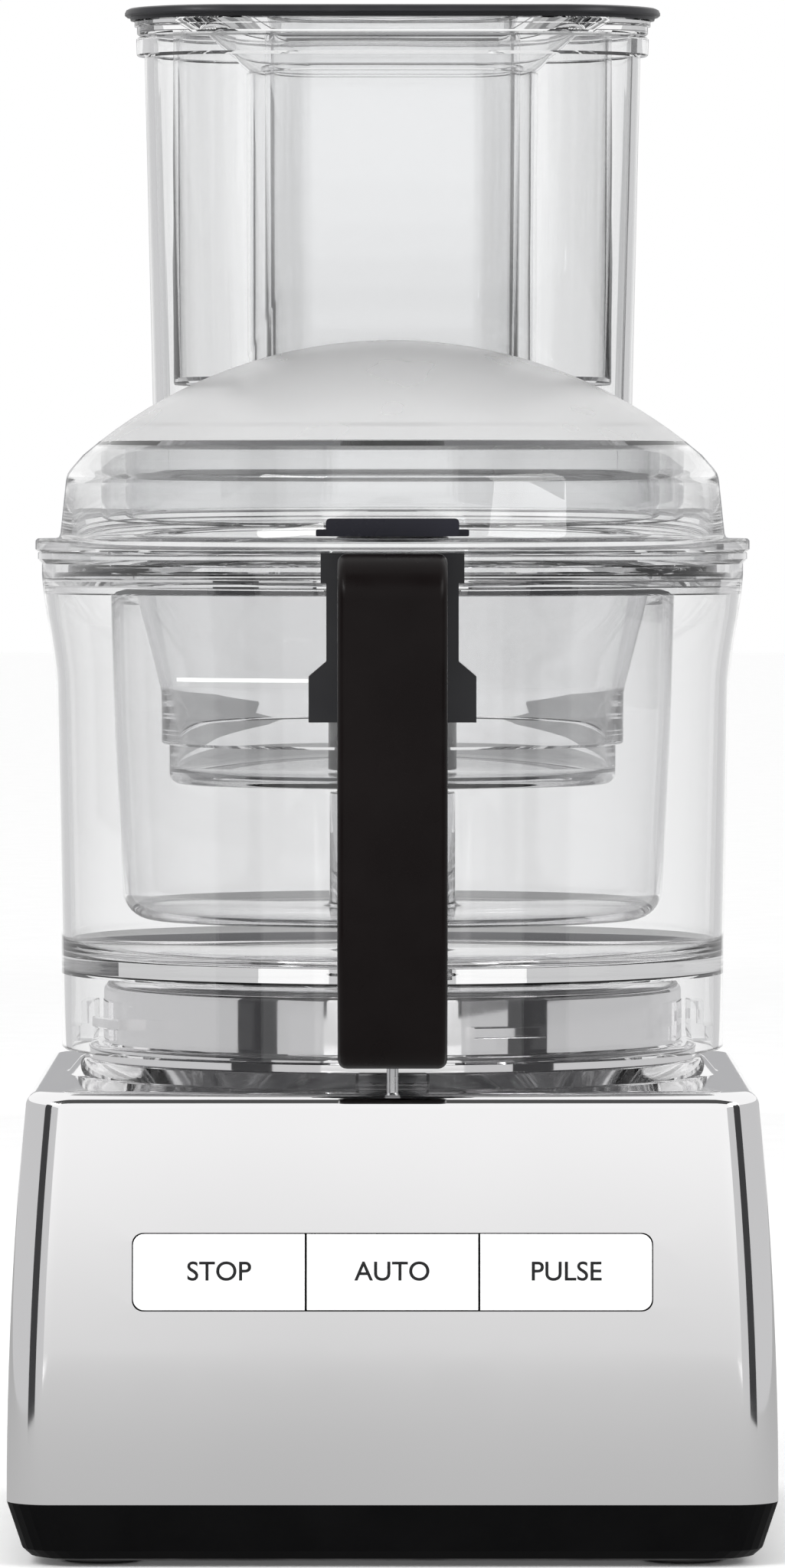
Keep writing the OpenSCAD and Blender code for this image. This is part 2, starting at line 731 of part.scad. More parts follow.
module board_screws() {
  color("silver") about_spindle() for (x = [-1, 1], z = [-1, 1])
    translate([x * (keys_w / 2 + 7), board_y, keys_z + z * 14]) rotate([90, 0, 0]) {
      translate([0, 0, -3.8]) cylinder(r = 2.6, h = 2 );
      translate([0, 0, -2]) cylinder(r = 1.2, h = 9);
    }
}

pin_bottom = top_z - housing_wall - 7;

module safety_switch() {
  color("black") about_spindle() translate([-10, pin_y - 3.2, pin_bottom - rod_travel - 11]) {
    cube([20, 6.4, 10]);
    // actuator post under the pin
    translate([8.5, 1.7, 9]) cube([3, 3, 1.6]);
  }
}

module safety_pin() {
  color("silver") about_spindle() {
    rod_at(0, pin_y, pin_bottom, pin_r, pin_top - pin_bottom);
    rod_at(0, pin_y, pin_bottom, pin_r + 1.4, 2);
  }
}

// ---- drive ----

// The spindle's section inside the blade's hub: round with two flats
module drive_section(r, across) {
  intersection() {
    circle(r = r);
    square([2 * r + 1, across], center = true);
  }
}

module drive_shaft() {
  step_z = upper_pocket_z + bearing_w + 3;
  flat_z = mini_floor_z - 6;
  color("silver") about_spindle() difference() {
    rotate_extrude() polygon([
      [0, lower_pocket_z - 2], [shaft_r, lower_pocket_z - 2], [shaft_r, step_z], [spindle_r, step_z],
      [spindle_r, spindle_top - 2], [spindle_r - 2, spindle_top], [0, spindle_top]]);
    for (side = [-1, 1])
      translate([-spindle_r - 1, side > 0 ? spindle_flat / 2 : -spindle_flat / 2 - spindle_r, flat_z])
        cube([2 * spindle_r + 2, spindle_r, spindle_top]);
  }
}

rotor_end = 2;

module rotor_core() {
  color("slategray") about_spindle() {
    ring(rotor_r, shaft_r + seat_gap, stator_z, stator_h - rotor_end - 2);
    for (z = [stator_z - rotor_end, stator_top - rotor_end - 2])
      ring(rotor_r - 2, rotor_r - 9, z, rotor_end + (z < stator_z ? 0.5 : 0));
  }
}

fan_z = stator_top + 1;
fan_h = upper_pocket_z - 2.5 - fan_z;

module cooling_fan() {
  color("darkorange") about_spindle() {
    ring(9, shaft_r + seat_gap, fan_z - 1, fan_h + 1);
    ring(rotor_r - 3, 8.5, fan_z - 1, 1.5);
    for (i = [0:9]) rotate([0, 0, i * 36]) translate([8, -0.8, fan_z]) rotate([0, 0, 20])
      cube([rotor_r - 13, 1.6, fan_h]);
  }
}

// ---- keys ----

// One of three keys. Its face follows the housing's front, and a flange behind the wall keeps it in.
module key(i) {
  flange_y = key_front_y + lean_at(keys_z + keys_h / 2 + 2) + housing_wall + 0.6;
  key_x = i * (key_w + key_gap);
  intersection() {
    housing_block(0.15, housing_z, top_z);
    key_prism(keys_w, keys_h, key_front_y - 2, flange_y - key_front_y + 2.5);
    translate([key_x - key_w / 2, -base_d, 0]) cube([key_w, 2 * base_d, 2 * top_z]);
  }
  translate([key_x - key_w / 2 + 1, flange_y, keys_z - keys_h / 2 - 2]) cube([key_w - 2, 1.5, keys_h + 4]);
  translate([key_x, board_y - switch_d - key_travel - 0.3, keys_z]) rotate([90, 0, 0])
    cylinder(r = 3, h = board_y - switch_d - key_travel - 0.3 - flange_y - 1);
}

module stop_key() {
  color("silver") about_spindle() key(-1);
}

module auto_key() {
  color("silver") about_spindle() key(0);
}

module pulse_key() {
  color("silver") about_spindle() key(1);
}

// ---- main bowl ----

// Outer outline of the main bowl from its skirt to its rim, grown by a gap
function bowl_side(grow) = [
  [skirt_r + grow, bowl_z - skirt_drop - grow], [skirt_r + grow, bowl_z + 8], [flare_r + grow, flare_z],
  [wall_top_r + grow, rim_base_z - 4], [wall_top_r + grow, rim_base_z - 0.6 - grow],
  [rim_r + grow, rim_base_z - grow], [rim_r + grow, rim_z]];

module main_bowl() {
  color("whitesmoke", 0.4) about_spindle() {
    bore_low = skirt_r - bowl_wall;
    rotate_extrude() polygon(concat(bowl_side(0), [
      [bowl_bore_r, rim_z], [bowl_bore_r, ledge_z], [bowl_bore_r - 3, ledge_z], [bowl_bore_r - 3, ledge_z - 1.5],
      [wall_top_r - bowl_wall - 0.6, ledge_z - 5], [flare_r - bowl_wall, flare_z], [bore_low, bowl_z + 12],
      for (a = [0:22.5:90]) [bore_low - 5 + 5 * cos(a), floor_z + 5 - 5 * sin(a)],
      [chimney_r + 3, floor_z], [chimney_r, floor_z + 4], [chimney_r, floor_z + chimney_h],
      [chimney_r - 2.5, floor_z + chimney_h], [chimney_r - 2.5, bowl_z],
      [bore_low, bowl_z], [bore_low, bowl_z - skirt_drop]]));
    // bayonet lugs inside the skirt
    for (a = [0:90:270]) {
      ring_arc(bore_low + 1, collar_r + 2.9, lug_z, lug_h, a, lug_angle);
      ring_arc(collar_r + 6.1, collar_r + 2.5, lug_z + lug_h - 1, lug_h * 2, a, lug_angle);
    }
  }
}

rod_slot_w = rod_w + 2 * slide_gap;
rod_slot_d = rod_d + 2 * slide_gap;

// The space that the safety rod slides in
module rod_slot(low, high) {
  translate([-rod_slot_w / 2, rod_y - rod_slot_d / 2, low]) cube([rod_slot_w, rod_slot_d, high - low]);
}

module bowl_solid(grow) {
  rotate_extrude() polygon(concat([[0, bowl_z - skirt_drop - grow]], bowl_side(grow), [[0, rim_z]]));
}

screw_x = 10;
screw_z = rim_z - arm_h / 2;

module handle_bracket() {
  low = rim_z - bracket_h;
  step_z = low + bracket_h * 0.36;
  foot_half_w = bracket_half_w + bracket_step;
  head_half_w = bracket_half_w + 1.5;
  half = [[foot_half_w, low], [foot_half_w, step_z - 4], [bracket_half_w, step_z], [bracket_half_w, rim_z - 8],
    [head_half_w, rim_z - 8], [head_half_w, rim_z]];
  color("dimgray") about_spindle() difference() {
    translate([0, -bracket_front, 0]) rotate([90, 0, 180]) linear_extrude(height = 14)
      polygon(concat(half, [for (i = [len(half) - 1:-1:0]) [-half[i][0], half[i][1]]]));
    bowl_solid(0.1);
    translate([0, 0, rim_z - 1]) cylinder(r = rim_r + 0.1, h = 5);
    rod_slot(low - 1, rim_z + 1);
    translate([-rod_slot_w / 2, rod_y, low - 1]) cube([rod_slot_w, 20, bracket_h + 2]);
    rod_at(0, rod_y, spring_z - 0.3, spring_pocket_r, spring_h + rod_travel + 3);
    translate([-spring_pocket_r, rod_y, spring_z - 0.3]) cube([2 * spring_pocket_r, 20, spring_h + rod_travel + 3]);
    for (x = [-1, 1]) translate([x * screw_x, -bracket_front - 1, screw_z]) rotate([-90, 0, 0]) {
      cylinder(r = 2.1, h = 20);
      translate([0, 0, 5]) cylinder(r = 3.9, h = 20);
    }
  }
}

module rod_guide() {
  low = guide_z;
  high = rim_z - bracket_h - seat_gap;
  color("black") about_spindle() difference() {
    translate([-guide_half_w, -bracket_front + 1.5, low]) cube([2 * guide_half_w, 16, high - low]);
    bowl_solid(0.1);
    rod_slot(low - 1, high + 1);
  }
}

// Side outline of the handle, as [distance from the spindle, height]
module handle_outline() {
  top = rim_z - seat_gap;
  low = handle_bottom;
  inner = grip_front - grip_t;
  heel = grip_front - lower_lean;
  lean_top = low + 30;
  difference() {
    union() {
      polygon([[bracket_front + seat_gap, top], [grip_front - bend_r, top],
        for (a = [75:-15:0]) [grip_front - bend_r + bend_r * cos(a), top - bend_r + bend_r * sin(a)],
        [grip_front, lean_top + 6], [grip_front - 1.5, lean_top - 2],
        [heel + 4, low + 3], [heel, low], [bracket_front - 1.5 + seat_gap, low],
        [bracket_front - 1.5 + seat_gap, low + lower_arm_h], [bracket_front + seat_gap, low + lower_arm_h + 3]]);
    }
    polygon([[bracket_front - 3, low + lower_arm_h], [heel - 7, low + lower_arm_h],
      [heel - 2, low + lower_arm_h + 2], [inner - 1.5, lean_top + 4], [inner, lean_top + 10],
      for (a = [0:22.5:90]) [inner - 8 + 8 * cos(a), top - arm_h - 8 + 8 * sin(a)],
      [bracket_front - 3, top - arm_h]]);
  }
}

module handle_grip() {
  color("black") about_spindle() difference() {
    translate([-grip_w / 2, 0, 0]) rotate([90, 0, -90]) mirror([0, 0, 1]) linear_extrude(height = grip_w)
      handle_outline();
    for (x = [-1, 1]) translate([x * screw_x, -bracket_front + 1, screw_z]) rotate([90, 0, 0])
      cylinder(r = 2 + seat_gap, h = 14);
  }
}

module handle_screws() {
  color("silver") about_spindle() for (x = [-1, 1])
    translate([x * screw_x, -bracket_front + 4 + seat_gap, screw_z]) rotate([90, 0, 0]) {
      cylinder(r = 2, h = 15);
      translate([0, 0, -2.5]) cylinder(r = 3.6, h = 2.5);
    }
}

module safety_rod() {
  color("silver") about_spindle() {
    translate([-rod_w / 2, rod_y - rod_d / 2, rod_bottom]) cube([rod_w, rod_d, rim_z - 2 - rod_bottom]);
    translate([-rod_w / 2, rod_y - rod_d / 2, rod_bottom])
      cube([rod_w, pin_y + pin_r + 0.4 - rod_y + rod_d / 2, rod_foot_h]);
    // collar that the spring pushes up
    rod_at(0, rod_y, spring_z + spring_h + 0.1, spring_r + spring_wire, 1.5);
  }
}

function spring_point(t) = [spring_r * cos(t * 360 * spring_turns), spring_r * sin(t * 360 * spring_turns),
  spring_wire + t * (spring_h - 2 * spring_wire)];

// A round wire swept along the spring's helix
module rod_spring() {
  steps = spring_turns * 16;
  sides = 6;
  points = [for (i = [0:steps], j = [0:sides - 1])
    let (t = i / steps, turn = t * 360 * spring_turns, b = j * 360 / sides, c = spring_point(t))
      c + [spring_wire * cos(b) * cos(turn), spring_wire * cos(b) * sin(turn), spring_wire * sin(b)]];
  sides_f = [for (i = [0:steps - 1], j = [0:sides - 1])
    let (k = (j + 1) % sides) [i * sides + j, i * sides + k, (i + 1) * sides + k, (i + 1) * sides + j]];
  end_a = [for (j = [sides - 1:-1:0]) j];
  end_b = [for (j = [0:sides - 1]) steps * sides + j];
  color("silver") about_spindle() translate([0, rod_y, spring_z])
    polyhedron(points = points, faces = concat(sides_f, [end_a, end_b]));
}

// ---- inner bowls ----

midi_foot_r = midi_r - midi_taper;

module midi_bowl() {
  c = midi_corner;
  ci = midi_corner - inner_wall;
  color("whitesmoke", 0.4) about_spindle() rotate_extrude() polygon([
    [midi_chimney_r - inner_wall, midi_z], [midi_foot_r - c, midi_z],
    for (a = [-67.5:22.5:0]) [midi_foot_r - c + c * cos(a), midi_z + c + c * sin(a)],
    [midi_r - 1.1, midi_z + midi_d * 0.55], [midi_r, ledge_z - 2], [midi_r, ledge_z],
    [bowl_bore_r - drop_gap, ledge_z], [bowl_bore_r - drop_gap, midi_rim_z], [midi_r - inner_wall, midi_rim_z],
    [midi_r - 1.1 - inner_wall, midi_z + midi_d * 0.55],
    for (a = [0:-22.5:-67.5]) [midi_foot_r - c + ci * cos(a), midi_z + c + ci * sin(a)],
    [midi_foot_r - c, midi_z + inner_wall],
    [midi_chimney_r + 2, midi_z + inner_wall], [midi_chimney_r, midi_z + inner_wall + 3],
    [midi_chimney_r, midi_z + chimney_h - 5], [midi_chimney_r - inner_wall, midi_z + chimney_h - 5]]);
}

module mini_bowl() {
  ring_low = mini_z + mini_band_h - 6.5;
  color("whitesmoke", 0.4) about_spindle() rotate_extrude() polygon([
    [mini_chimney_in, mini_z], [mini_foot_r - 3, mini_z], [mini_foot_r, mini_z + 3], [mini_foot_r, ring_low],
    [mini_cone_r, ring_low], [mini_cone_r, mini_z + mini_band_h], [mini_cone_r + 0.2, mini_z + mini_band_h + 8],
    [mini_r, midi_rim_z - 1], [mini_r, midi_rim_z], [mini_rim_r, midi_rim_z], [mini_rim_r, mini_rim_z],
    [mini_r - inner_wall, mini_rim_z], [mini_cone_r - inner_wall, mini_z + mini_band_h + 8],
    [mini_foot_r - inner_wall, mini_z + mini_band_h - 4], [mini_foot_r - inner_wall, mini_floor_z + 3],
    [mini_foot_r - inner_wall - 3, mini_floor_z], [mini_chimney_out, mini_floor_z],
    [mini_chimney_out, mini_floor_z + mini_chimney_h], [mini_chimney_in, mini_floor_z + mini_chimney_h]]);
}

module blade_hub() {
  color("black") about_spindle() difference() {
    rotate_extrude() polygon([[0, hub_z], [hub_r, hub_z], [hub_r, hub_z + 22], [hub_r - 1.5, hub_top - 8],
      [hub_r - 3, hub_top - 2], [hub_r - 6, hub_top], [0, hub_top]]);
    rod_at(0, 0, hub_z - 1, mini_chimney_out + drop_gap, socket_z - hub_z + 1);
    translate([0, 0, socket_z - 1]) linear_extrude(height = spindle_top - socket_z + 2)
      drive_section(spindle_r + slide_gap, spindle_flat + 2 * slide_gap);
  }
}

// A curved blade that sweeps out from the hub, wide at its root and narrow at its tip
module blade(reach, z) {
  root = hub_r - 6;
  lead = [for (t = [0:0.1:1]) [11 - 3 * t - 12 * t * t, root + t * (reach - root)]];
  trail = [for (t = [1:-0.1:0]) [-7 - 5 * sin(150 * t), root + t * (reach - 2 - root)]];
  translate([0, 0, z]) linear_extrude(height = blade_t) difference() {
    polygon(concat(lead, trail));
    circle(r = hub_r + seat_gap);
  }
}

module mini_blades() {
  color("silver") about_spindle() {
    blade(blade_reach, mini_floor_z + 3.5);
    rotate([0, 0, 180]) blade(blade_reach - 4, mini_floor_z + 3.5 + blade_step);
  }
}

// ---- lid ----

function dome_z(r, depth) = dome_top - dome_r + sqrt(pow(dome_r - depth, 2) - pow(r, 2));

// Outer outline of the lid above its flange, down to the spindle's axis
function lid_side() = [
  [lid_r + lid_draft + 1, lid_z + lid_flange_t], [lid_r + lid_draft, lid_z + lid_flange_t + 1],
  [lid_r, shoulder_z - 1.5],
  for (s = [0.985:-0.0985:0]) [lid_r * s, dome_z(lid_r * s, 0)],
  [0, dome_top]];

module lid_body() {
  inner_r = lid_r - lid_wall;
  rotate_extrude() polygon(concat(
    [[lid_flange_r, lid_z], [lid_flange_r, lid_z + lid_flange_t]], lid_side(),
    [[0, dome_top - lid_wall]],
    [for (s = [0.1:0.1:0.97]) [inner_r * s, dome_z(inner_r * s, lid_wall)]],
    [[inner_r, shoulder_z - 2], [lid_r + lid_draft - lid_wall, lid_z - plug_h],
      [bowl_bore_r - drop_gap, lid_z - plug_h], [bowl_bore_r - drop_gap, lid_z]]));
  for (r = [lid_r - rib_in[0], lid_r - rib_in[1]])
    rotate_extrude() polygon([[r - rib_t, lid_z + 6], [r, lid_z + 6], [r, dome_z(r, lid_wall) + 0.5],
      [r - rib_t, dome_z(r - rib_t, lid_wall) + 0.5]]);
}

// The feed tube's oval prism, drawn in by inset: wide at the mouth and narrower at the dome
module tube_prism(inset, low, high) {
  hull() {
    translate([0, tube_back, high]) linear_extrude(height = slice_t)
      oval(tube_half_w - inset, tube_half_d - inset, $fn = 48);
    translate([0, tube_back, low]) linear_extrude(height = slice_t)
      oval(tube_half_w - tube_taper - inset, tube_half_d - inset, $fn = 48);
  }
}

module tube_opening() {
  translate([0, tube_back, lid_z + 31]) linear_extrude(height = 80)
    oval(tube_half_w - tube_taper - tube_wall, tube_half_d - tube_wall);
}

module lid_shell() {
  color("whitesmoke", 0.4) about_spindle() difference() {
    lid_body();
    tube_opening();
  }
}

module lock_tab() {
  color("black") about_spindle() {
    z = lid_z + lid_flange_t + 1;
    difference() {
      union() {
        translate([-tab_half_w, -tab_reach, z]) cube([2 * tab_half_w, tab_reach - lid_r + 8, tab_t]);
        translate([-tab_half_w - 2.7, -tab_reach + 8, z]) cube([2 * tab_half_w + 5.4, tab_reach - lid_r - 6, 1.8]);
        for (x = [-1, 1]) translate([x * (tab_half_w - 2) - 1.5, -lid_flange_r - 4.5, z - 2.5]) cube([3, 4, 3]);
      }
      translate([0, 0, z - 5]) cylinder(r = lid_r + lid_draft + 0.4, h = 30);
    }
  }
}

module feed_tube() {
  color("whitesmoke", 0.4) about_spindle() difference() {
    union() {
      tube_prism(0, lid_z + 20, tube_top - slice_t);
      translate([0, tube_back, tube_top - tube_rim_h]) linear_extrude(height = tube_rim_h)
        oval(tube_half_w + tube_rim_out, tube_half_d + tube_rim_out);
    }
    tube_prism(tube_wall, lid_z + 19, tube_top + bore_over);
    rotate_extrude() polygon(concat([[0, 0], [lid_r + lid_draft + 1, 0]], lid_side()));
  }
}

// ---- pushers ----

large_half_w = tube_half_w - tube_taper - tube_wall - pusher_gap - pusher_end_gap;

module passage(grow, low, high) {
  translate([0, tube_back, low]) linear_extrude(height = high - low)
    oval(passage_half_w + grow, passage_half_d + grow);
}

module large_pusher() {
  color("whitesmoke", 0.4) about_spindle() difference() {
    union() {
      difference() {
        translate([0, tube_back, pusher_z]) linear_extrude(height = cover_z - pusher_z)
          oval(large_half_w, pusher_half_d);
        translate([0, tube_back, pusher_z + pusher_wall]) linear_extrude(height = pusher_d + 10)
          oval(large_half_w - pusher_wall, pusher_half_d - pusher_wall);
      }
      passage(passage_wall, pusher_z, funnel_z);
    }
    passage(0, pusher_z - 1, funnel_z + 1);
  }
}

// The funnel's inner or outer surface as a solid, grown by a wall
module funnel_solid(grow, low, high) {
  rise = (high - low) / funnel_h;
  hull() {
    translate([0, tube_back, low]) linear_extrude(height = slice_t)
      oval(passage_half_w + grow, passage_half_d + grow, $fn = 48);
    translate([0, tube_back, high]) linear_extrude(height = slice_t)
      oval(passage_half_w + funnel_out * rise + grow, passage_half_d + funnel_deep * rise + grow, $fn = 48);
  }
}

module pusher_cover() {
  color("whitesmoke", 0.4) about_spindle() difference() {
    union() {
      translate([0, tube_back, cover_z + seat_gap]) linear_extrude(height = cover_t - 1.6)
        oval(tube_half_w + tube_rim_out - 0.2, tube_half_d + tube_rim_out - 0.2);
      translate([0, tube_back, crown_z - 1.7]) linear_extrude(height = 1.7)
        oval(tube_half_w + tube_rim_out + 0.5, tube_half_d + tube_rim_out + 0.5);
      intersection() {
        funnel_solid(1.4, funnel_z + seat_gap, crown_z);
        translate([0, tube_back, funnel_z]) linear_extrude(height = crown_z - funnel_z)
          oval(large_half_w - pusher_wall - 0.2, pusher_half_d - pusher_wall - 0.2);
      }
    }
    funnel_solid(0, funnel_z, crown_z);
    passage(0, funnel_z - 5, funnel_z + 1);
  }
}

module pusher_crown() {
  color("dimgray") about_spindle() difference() {
    union() {
      translate([0, tube_back, crown_z + seat_gap]) linear_extrude(height = 1.2)
        oval(crown_half_w - 1.4, crown_half_d - 1.4);
      translate([0, tube_back, crown_z + 0.9]) linear_extrude(height = crown_t - 0.9)
        oval(crown_half_w, crown_half_d);
    }
    translate([0, tube_back, crown_z - 1]) linear_extrude(height = crown_t + 2)
      oval(passage_half_w + funnel_out + 0.3, passage_half_d + funnel_deep + 0.3);
  }
}

module small_pusher() {
  half_w = passage_half_w - small_gap;
  half_d = passage_half_d - small_gap;
  low = pusher_z + 1.6;
  lip_z = funnel_z + 0.5;
  high = crown_z - 1.6;
  color("gainsboro") about_spindle() {
    difference() {
      union() {
        translate([0, tube_back, low]) linear_extrude(height = high - low) oval(half_w - 2.2, half_d - 0.8);
        translate([0, tube_back, lip_z]) linear_extrude(height = 1.8) oval(half_w + 1, half_d + 0.2);
      }
      translate([0, tube_back, low + small_wall]) linear_extrude(height = high)
        oval(half_w - 2.2 - small_wall, half_d - 0.8 - small_wall);
    }
  }
}

housing();
base_tray();
feet();
tray_screws();
cable_gland();
bowl_collar();
shaft_seal();
stator_core();
windings();
lower_end_shield();
upper_end_shield();
motor_bolts();
motor_mounts();
bearing_outer_races();
bearing_balls();
run_capacitor();
control_board();
key_switches();
board_screws();
safety_switch();
safety_pin();
drive_shaft();
rotor_core();
cooling_fan();
bearing_inner_races();
stop_key();
auto_key();
pulse_key();
main_bowl();
handle_bracket();
rod_guide();
handle_grip();
handle_screws();
safety_rod();
rod_spring();
midi_bowl();
mini_bowl();
blade_hub();
mini_blades();
lid_shell();
lock_tab();
feed_tube();
large_pusher();
pusher_cover();
pusher_crown();
small_pusher();
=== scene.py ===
import math
import bmesh
import bpy
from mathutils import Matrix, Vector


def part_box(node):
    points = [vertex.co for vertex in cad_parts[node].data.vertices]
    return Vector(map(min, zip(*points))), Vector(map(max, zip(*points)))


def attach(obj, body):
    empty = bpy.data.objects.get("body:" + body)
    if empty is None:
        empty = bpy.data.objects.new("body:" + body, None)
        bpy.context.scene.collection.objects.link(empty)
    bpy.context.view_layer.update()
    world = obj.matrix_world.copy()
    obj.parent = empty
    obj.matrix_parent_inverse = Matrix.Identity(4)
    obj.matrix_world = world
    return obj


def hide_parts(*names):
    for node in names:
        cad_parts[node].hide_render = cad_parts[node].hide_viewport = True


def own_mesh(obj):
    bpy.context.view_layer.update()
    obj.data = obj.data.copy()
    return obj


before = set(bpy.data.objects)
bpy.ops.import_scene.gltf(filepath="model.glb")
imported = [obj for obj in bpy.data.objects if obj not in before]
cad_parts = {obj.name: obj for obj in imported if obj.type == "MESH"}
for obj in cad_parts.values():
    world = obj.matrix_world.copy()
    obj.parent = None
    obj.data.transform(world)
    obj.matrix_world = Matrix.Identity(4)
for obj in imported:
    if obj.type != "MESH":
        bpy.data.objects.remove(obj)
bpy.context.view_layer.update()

# ---- camera, floor and lights ----
# A long lens looks almost level at the machine from its front. The floor is pale and endless, the sky is
# plain white, and dark and grey cards that only reflections see draw the edges of the chrome and clear parts.
shaft_low, shaft_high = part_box("drive_shaft")
spindle_y = (shaft_low[1] + shaft_high[1]) / 2
camera_data = bpy.data.cameras.new("camera")
camera_data.lens = 219.0
camera_distance, camera_height, camera_tilt = 2.64, 0.2852, 1.714
camera_data.sensor_width = 36.0
camera = bpy.data.objects.new("camera", camera_data)
bpy.context.collection.objects.link(camera)
camera.location = (0.0, spindle_y - camera_distance, camera_height)
camera.rotation_euler = (math.radians(90.0 - camera_tilt), 0.0, 0.0)
bpy.context.scene.camera = camera
bpy.context.scene.view_settings.view_transform = "Standard"
bpy.context.scene.cycles.max_bounces = 40
bpy.context.scene.cycles.transmission_bounces = 32
bpy.context.scene.cycles.glossy_bounces = 16
bpy.context.scene.cycles.transparent_max_bounces = 32

world = bpy.data.worlds.new("studio")
bpy.context.scene.world = world
world.use_nodes = True
world.node_tree.nodes["Background"].inputs["Color"].default_value = (1.0, 1.0, 1.0, 1.0)
world.node_tree.nodes["Background"].inputs["Strength"].default_value = 1.0


def new_material(name, **sockets):
    """A Principled material with its plain values set on the shader's own sockets."""
    material = bpy.data.materials.new(name)
    material.use_nodes = True
    shader = material.node_tree.nodes["Principled BSDF"]
    for socket, value in sockets.items():
        shader.inputs[socket.replace("_", " ")].default_value = value
    return material, material.node_tree, shader


def noise(tree, scale, detail=3.0, stretch=(1.0, 1.0, 1.0)):
    """A noise texture on the piece's own coordinates, in metres."""
    place = tree.nodes.new("ShaderNodeTexCoord")
    mapping = tree.nodes.new("ShaderNodeMapping")
    mapping.inputs["Scale"].default_value = stretch
    texture = tree.nodes.new("ShaderNodeTexNoise")
    texture.inputs["Scale"].default_value = scale
    texture.inputs["Detail"].default_value = detail
    tree.links.new(place.outputs["Object"], mapping.inputs["Vector"])
    tree.links.new(mapping.outputs["Vector"], texture.inputs["Vector"])
    return texture.outputs["Fac"]


def span(tree, value, low, high, start=0.35, end=0.65):
    """Maps a noise value to a range."""
    node = tree.nodes.new("ShaderNodeMapRange")
    node.inputs["From Min"].default_value = start
    node.inputs["From Max"].default_value = end
    node.inputs["To Min"].default_value = low
    node.inputs["To Max"].default_value = high
    tree.links.new(value, node.inputs["Value"])
    return node.outputs["Result"]


def bump(tree, shader, height, distance, strength=1.0):
    """Feeds a height to the shader's normal."""
    node = tree.nodes.new("ShaderNodeBump")
    node.inputs["Strength"].default_value = strength
    node.inputs["Distance"].default_value = distance
    tree.links.new(height, node.inputs["Height"])
    tree.links.new(node.outputs["Normal"], shader.inputs["Normal"])


def blend_colours(tree, shader, value, first, second):
    """Mixes two colours by a value into the base colour."""
    ramp = tree.nodes.new("ShaderNodeValToRGB")
    ramp.color_ramp.elements[0].position = 0.3
    ramp.color_ramp.elements[1].position = 0.7
    ramp.color_ramp.elements[0].color = (*first, 1.0)
    ramp.color_ramp.elements[1].color = (*second, 1.0)
    tree.links.new(value, ramp.inputs["Fac"])
    tree.links.new(ramp.outputs["Color"], shader.inputs["Base Color"])


def glowing_card(name, centre, size, turn, colour, strength):
    """A flat card that reflections and refractions see and the camera doesn't."""
    bpy.ops.object.select_all(action="DESELECT")
    bpy.ops.mesh.primitive_plane_add(size=1.0, location=centre, rotation=turn)
    card = bpy.context.object
    card.name = name
    card.scale = (*size, 1.0)
    material = bpy.data.materials.new(name)
    material.use_nodes = True
    tree = material.node_tree
    tree.nodes.clear()
    glow = tree.nodes.new("ShaderNodeEmission")
    glow.inputs["Color"].default_value = (*colour, 1.0)
    glow.inputs["Strength"].default_value = strength
    out = tree.nodes.new("ShaderNodeOutputMaterial")
    tree.links.new(glow.outputs["Emission"], out.inputs["Surface"])
    card.data.materials.append(material)
    card.visible_camera = False
    card.visible_shadow = False
    card.visible_diffuse = False
    return card


bpy.ops.object.select_all(action="DESELECT")
bpy.ops.mesh.primitive_plane_add(size=30.0, location=(0.0, 0.0, 0.0))
floor = bpy.context.object
floor.name = "floor"
floor_material, floor_tree, floor_shader = new_material("pale_floor", Roughness=0.6)
blend_colours(floor_tree, floor_shader, noise(floor_tree, 40.0), (0.96, 0.96, 0.96), (0.985, 0.985, 0.985))
floor.data.materials.append(floor_material)

UPRIGHT = math.radians(90.0)


def shaded_card(name, centre, size, turn, levels):
    """A card whose glow changes from its lower to its upper edge through evenly spaced levels."""
    card = glowing_card(name, centre, size, turn, (1.0, 1.0, 1.0), 1.0)
    tree = card.data.materials[0].node_tree
    place = tree.nodes.new("ShaderNodeTexCoord")
    split = tree.nodes.new("ShaderNodeSeparateXYZ")
    shift = tree.nodes.new("ShaderNodeMapRange")
    shift.inputs["From Min"].default_value = -0.5
    shift.inputs["From Max"].default_value = 0.5
    ramp = tree.nodes.new("ShaderNodeValToRGB")
    stops = ramp.color_ramp.elements
    while len(stops) < len(levels):
        stops.new(0.5)
    for index, level in enumerate(levels):
        stops[index].position = index / (len(levels) - 1)
        stops[index].color = (level, level, level, 1.0)
    tree.links.new(place.outputs["Object"], split.inputs["Vector"])
    tree.links.new(split.outputs["Y"], shift.inputs["Value"])
    tree.links.new(shift.outputs["Result"], ramp.inputs["Fac"])
    tree.links.new(ramp.outputs["Color"], tree.nodes["Emission"].inputs["Color"])
    return card


shaded_card("front_card", (0.0, -3.6, 0.5), (5.0, 1.0), (UPRIGHT, 0.0, 0.0),
            (0.72, 0.80, 0.90, 0.97, 1.0, 1.0, 1.0))
shaded_card("floor_card", (0.0, -0.9, 0.001), (1.8, 5.4), (0.0, 0.0, 0.0),
            (0.72, 0.68, 0.64, 0.59, 0.50, 0.42, 0.42))
for side in (-1, 1):
    wall = glowing_card(f"side_card_{side + 1}", (side * 0.9, -0.4, 0.735), (3.0, 1.1),
                        (UPRIGHT, 0.0, UPRIGHT), (0.03, 0.03, 0.032), 1.0)
    wall.visible_glossy = False
    glowing_card(f"low_side_{side + 1}", (side * 0.9, 0.8, 0.25), (5.2, 0.5), (UPRIGHT, 0.0, UPRIGHT),
                 (0.60, 0.60, 0.605), 1.0)
    glowing_card(f"dark_strip_{side + 1}", (side * 0.7, -0.55, 0.25), (0.32, 0.5), (UPRIGHT, 0.0, UPRIGHT),
                 (0.05, 0.05, 0.052), 1.0)
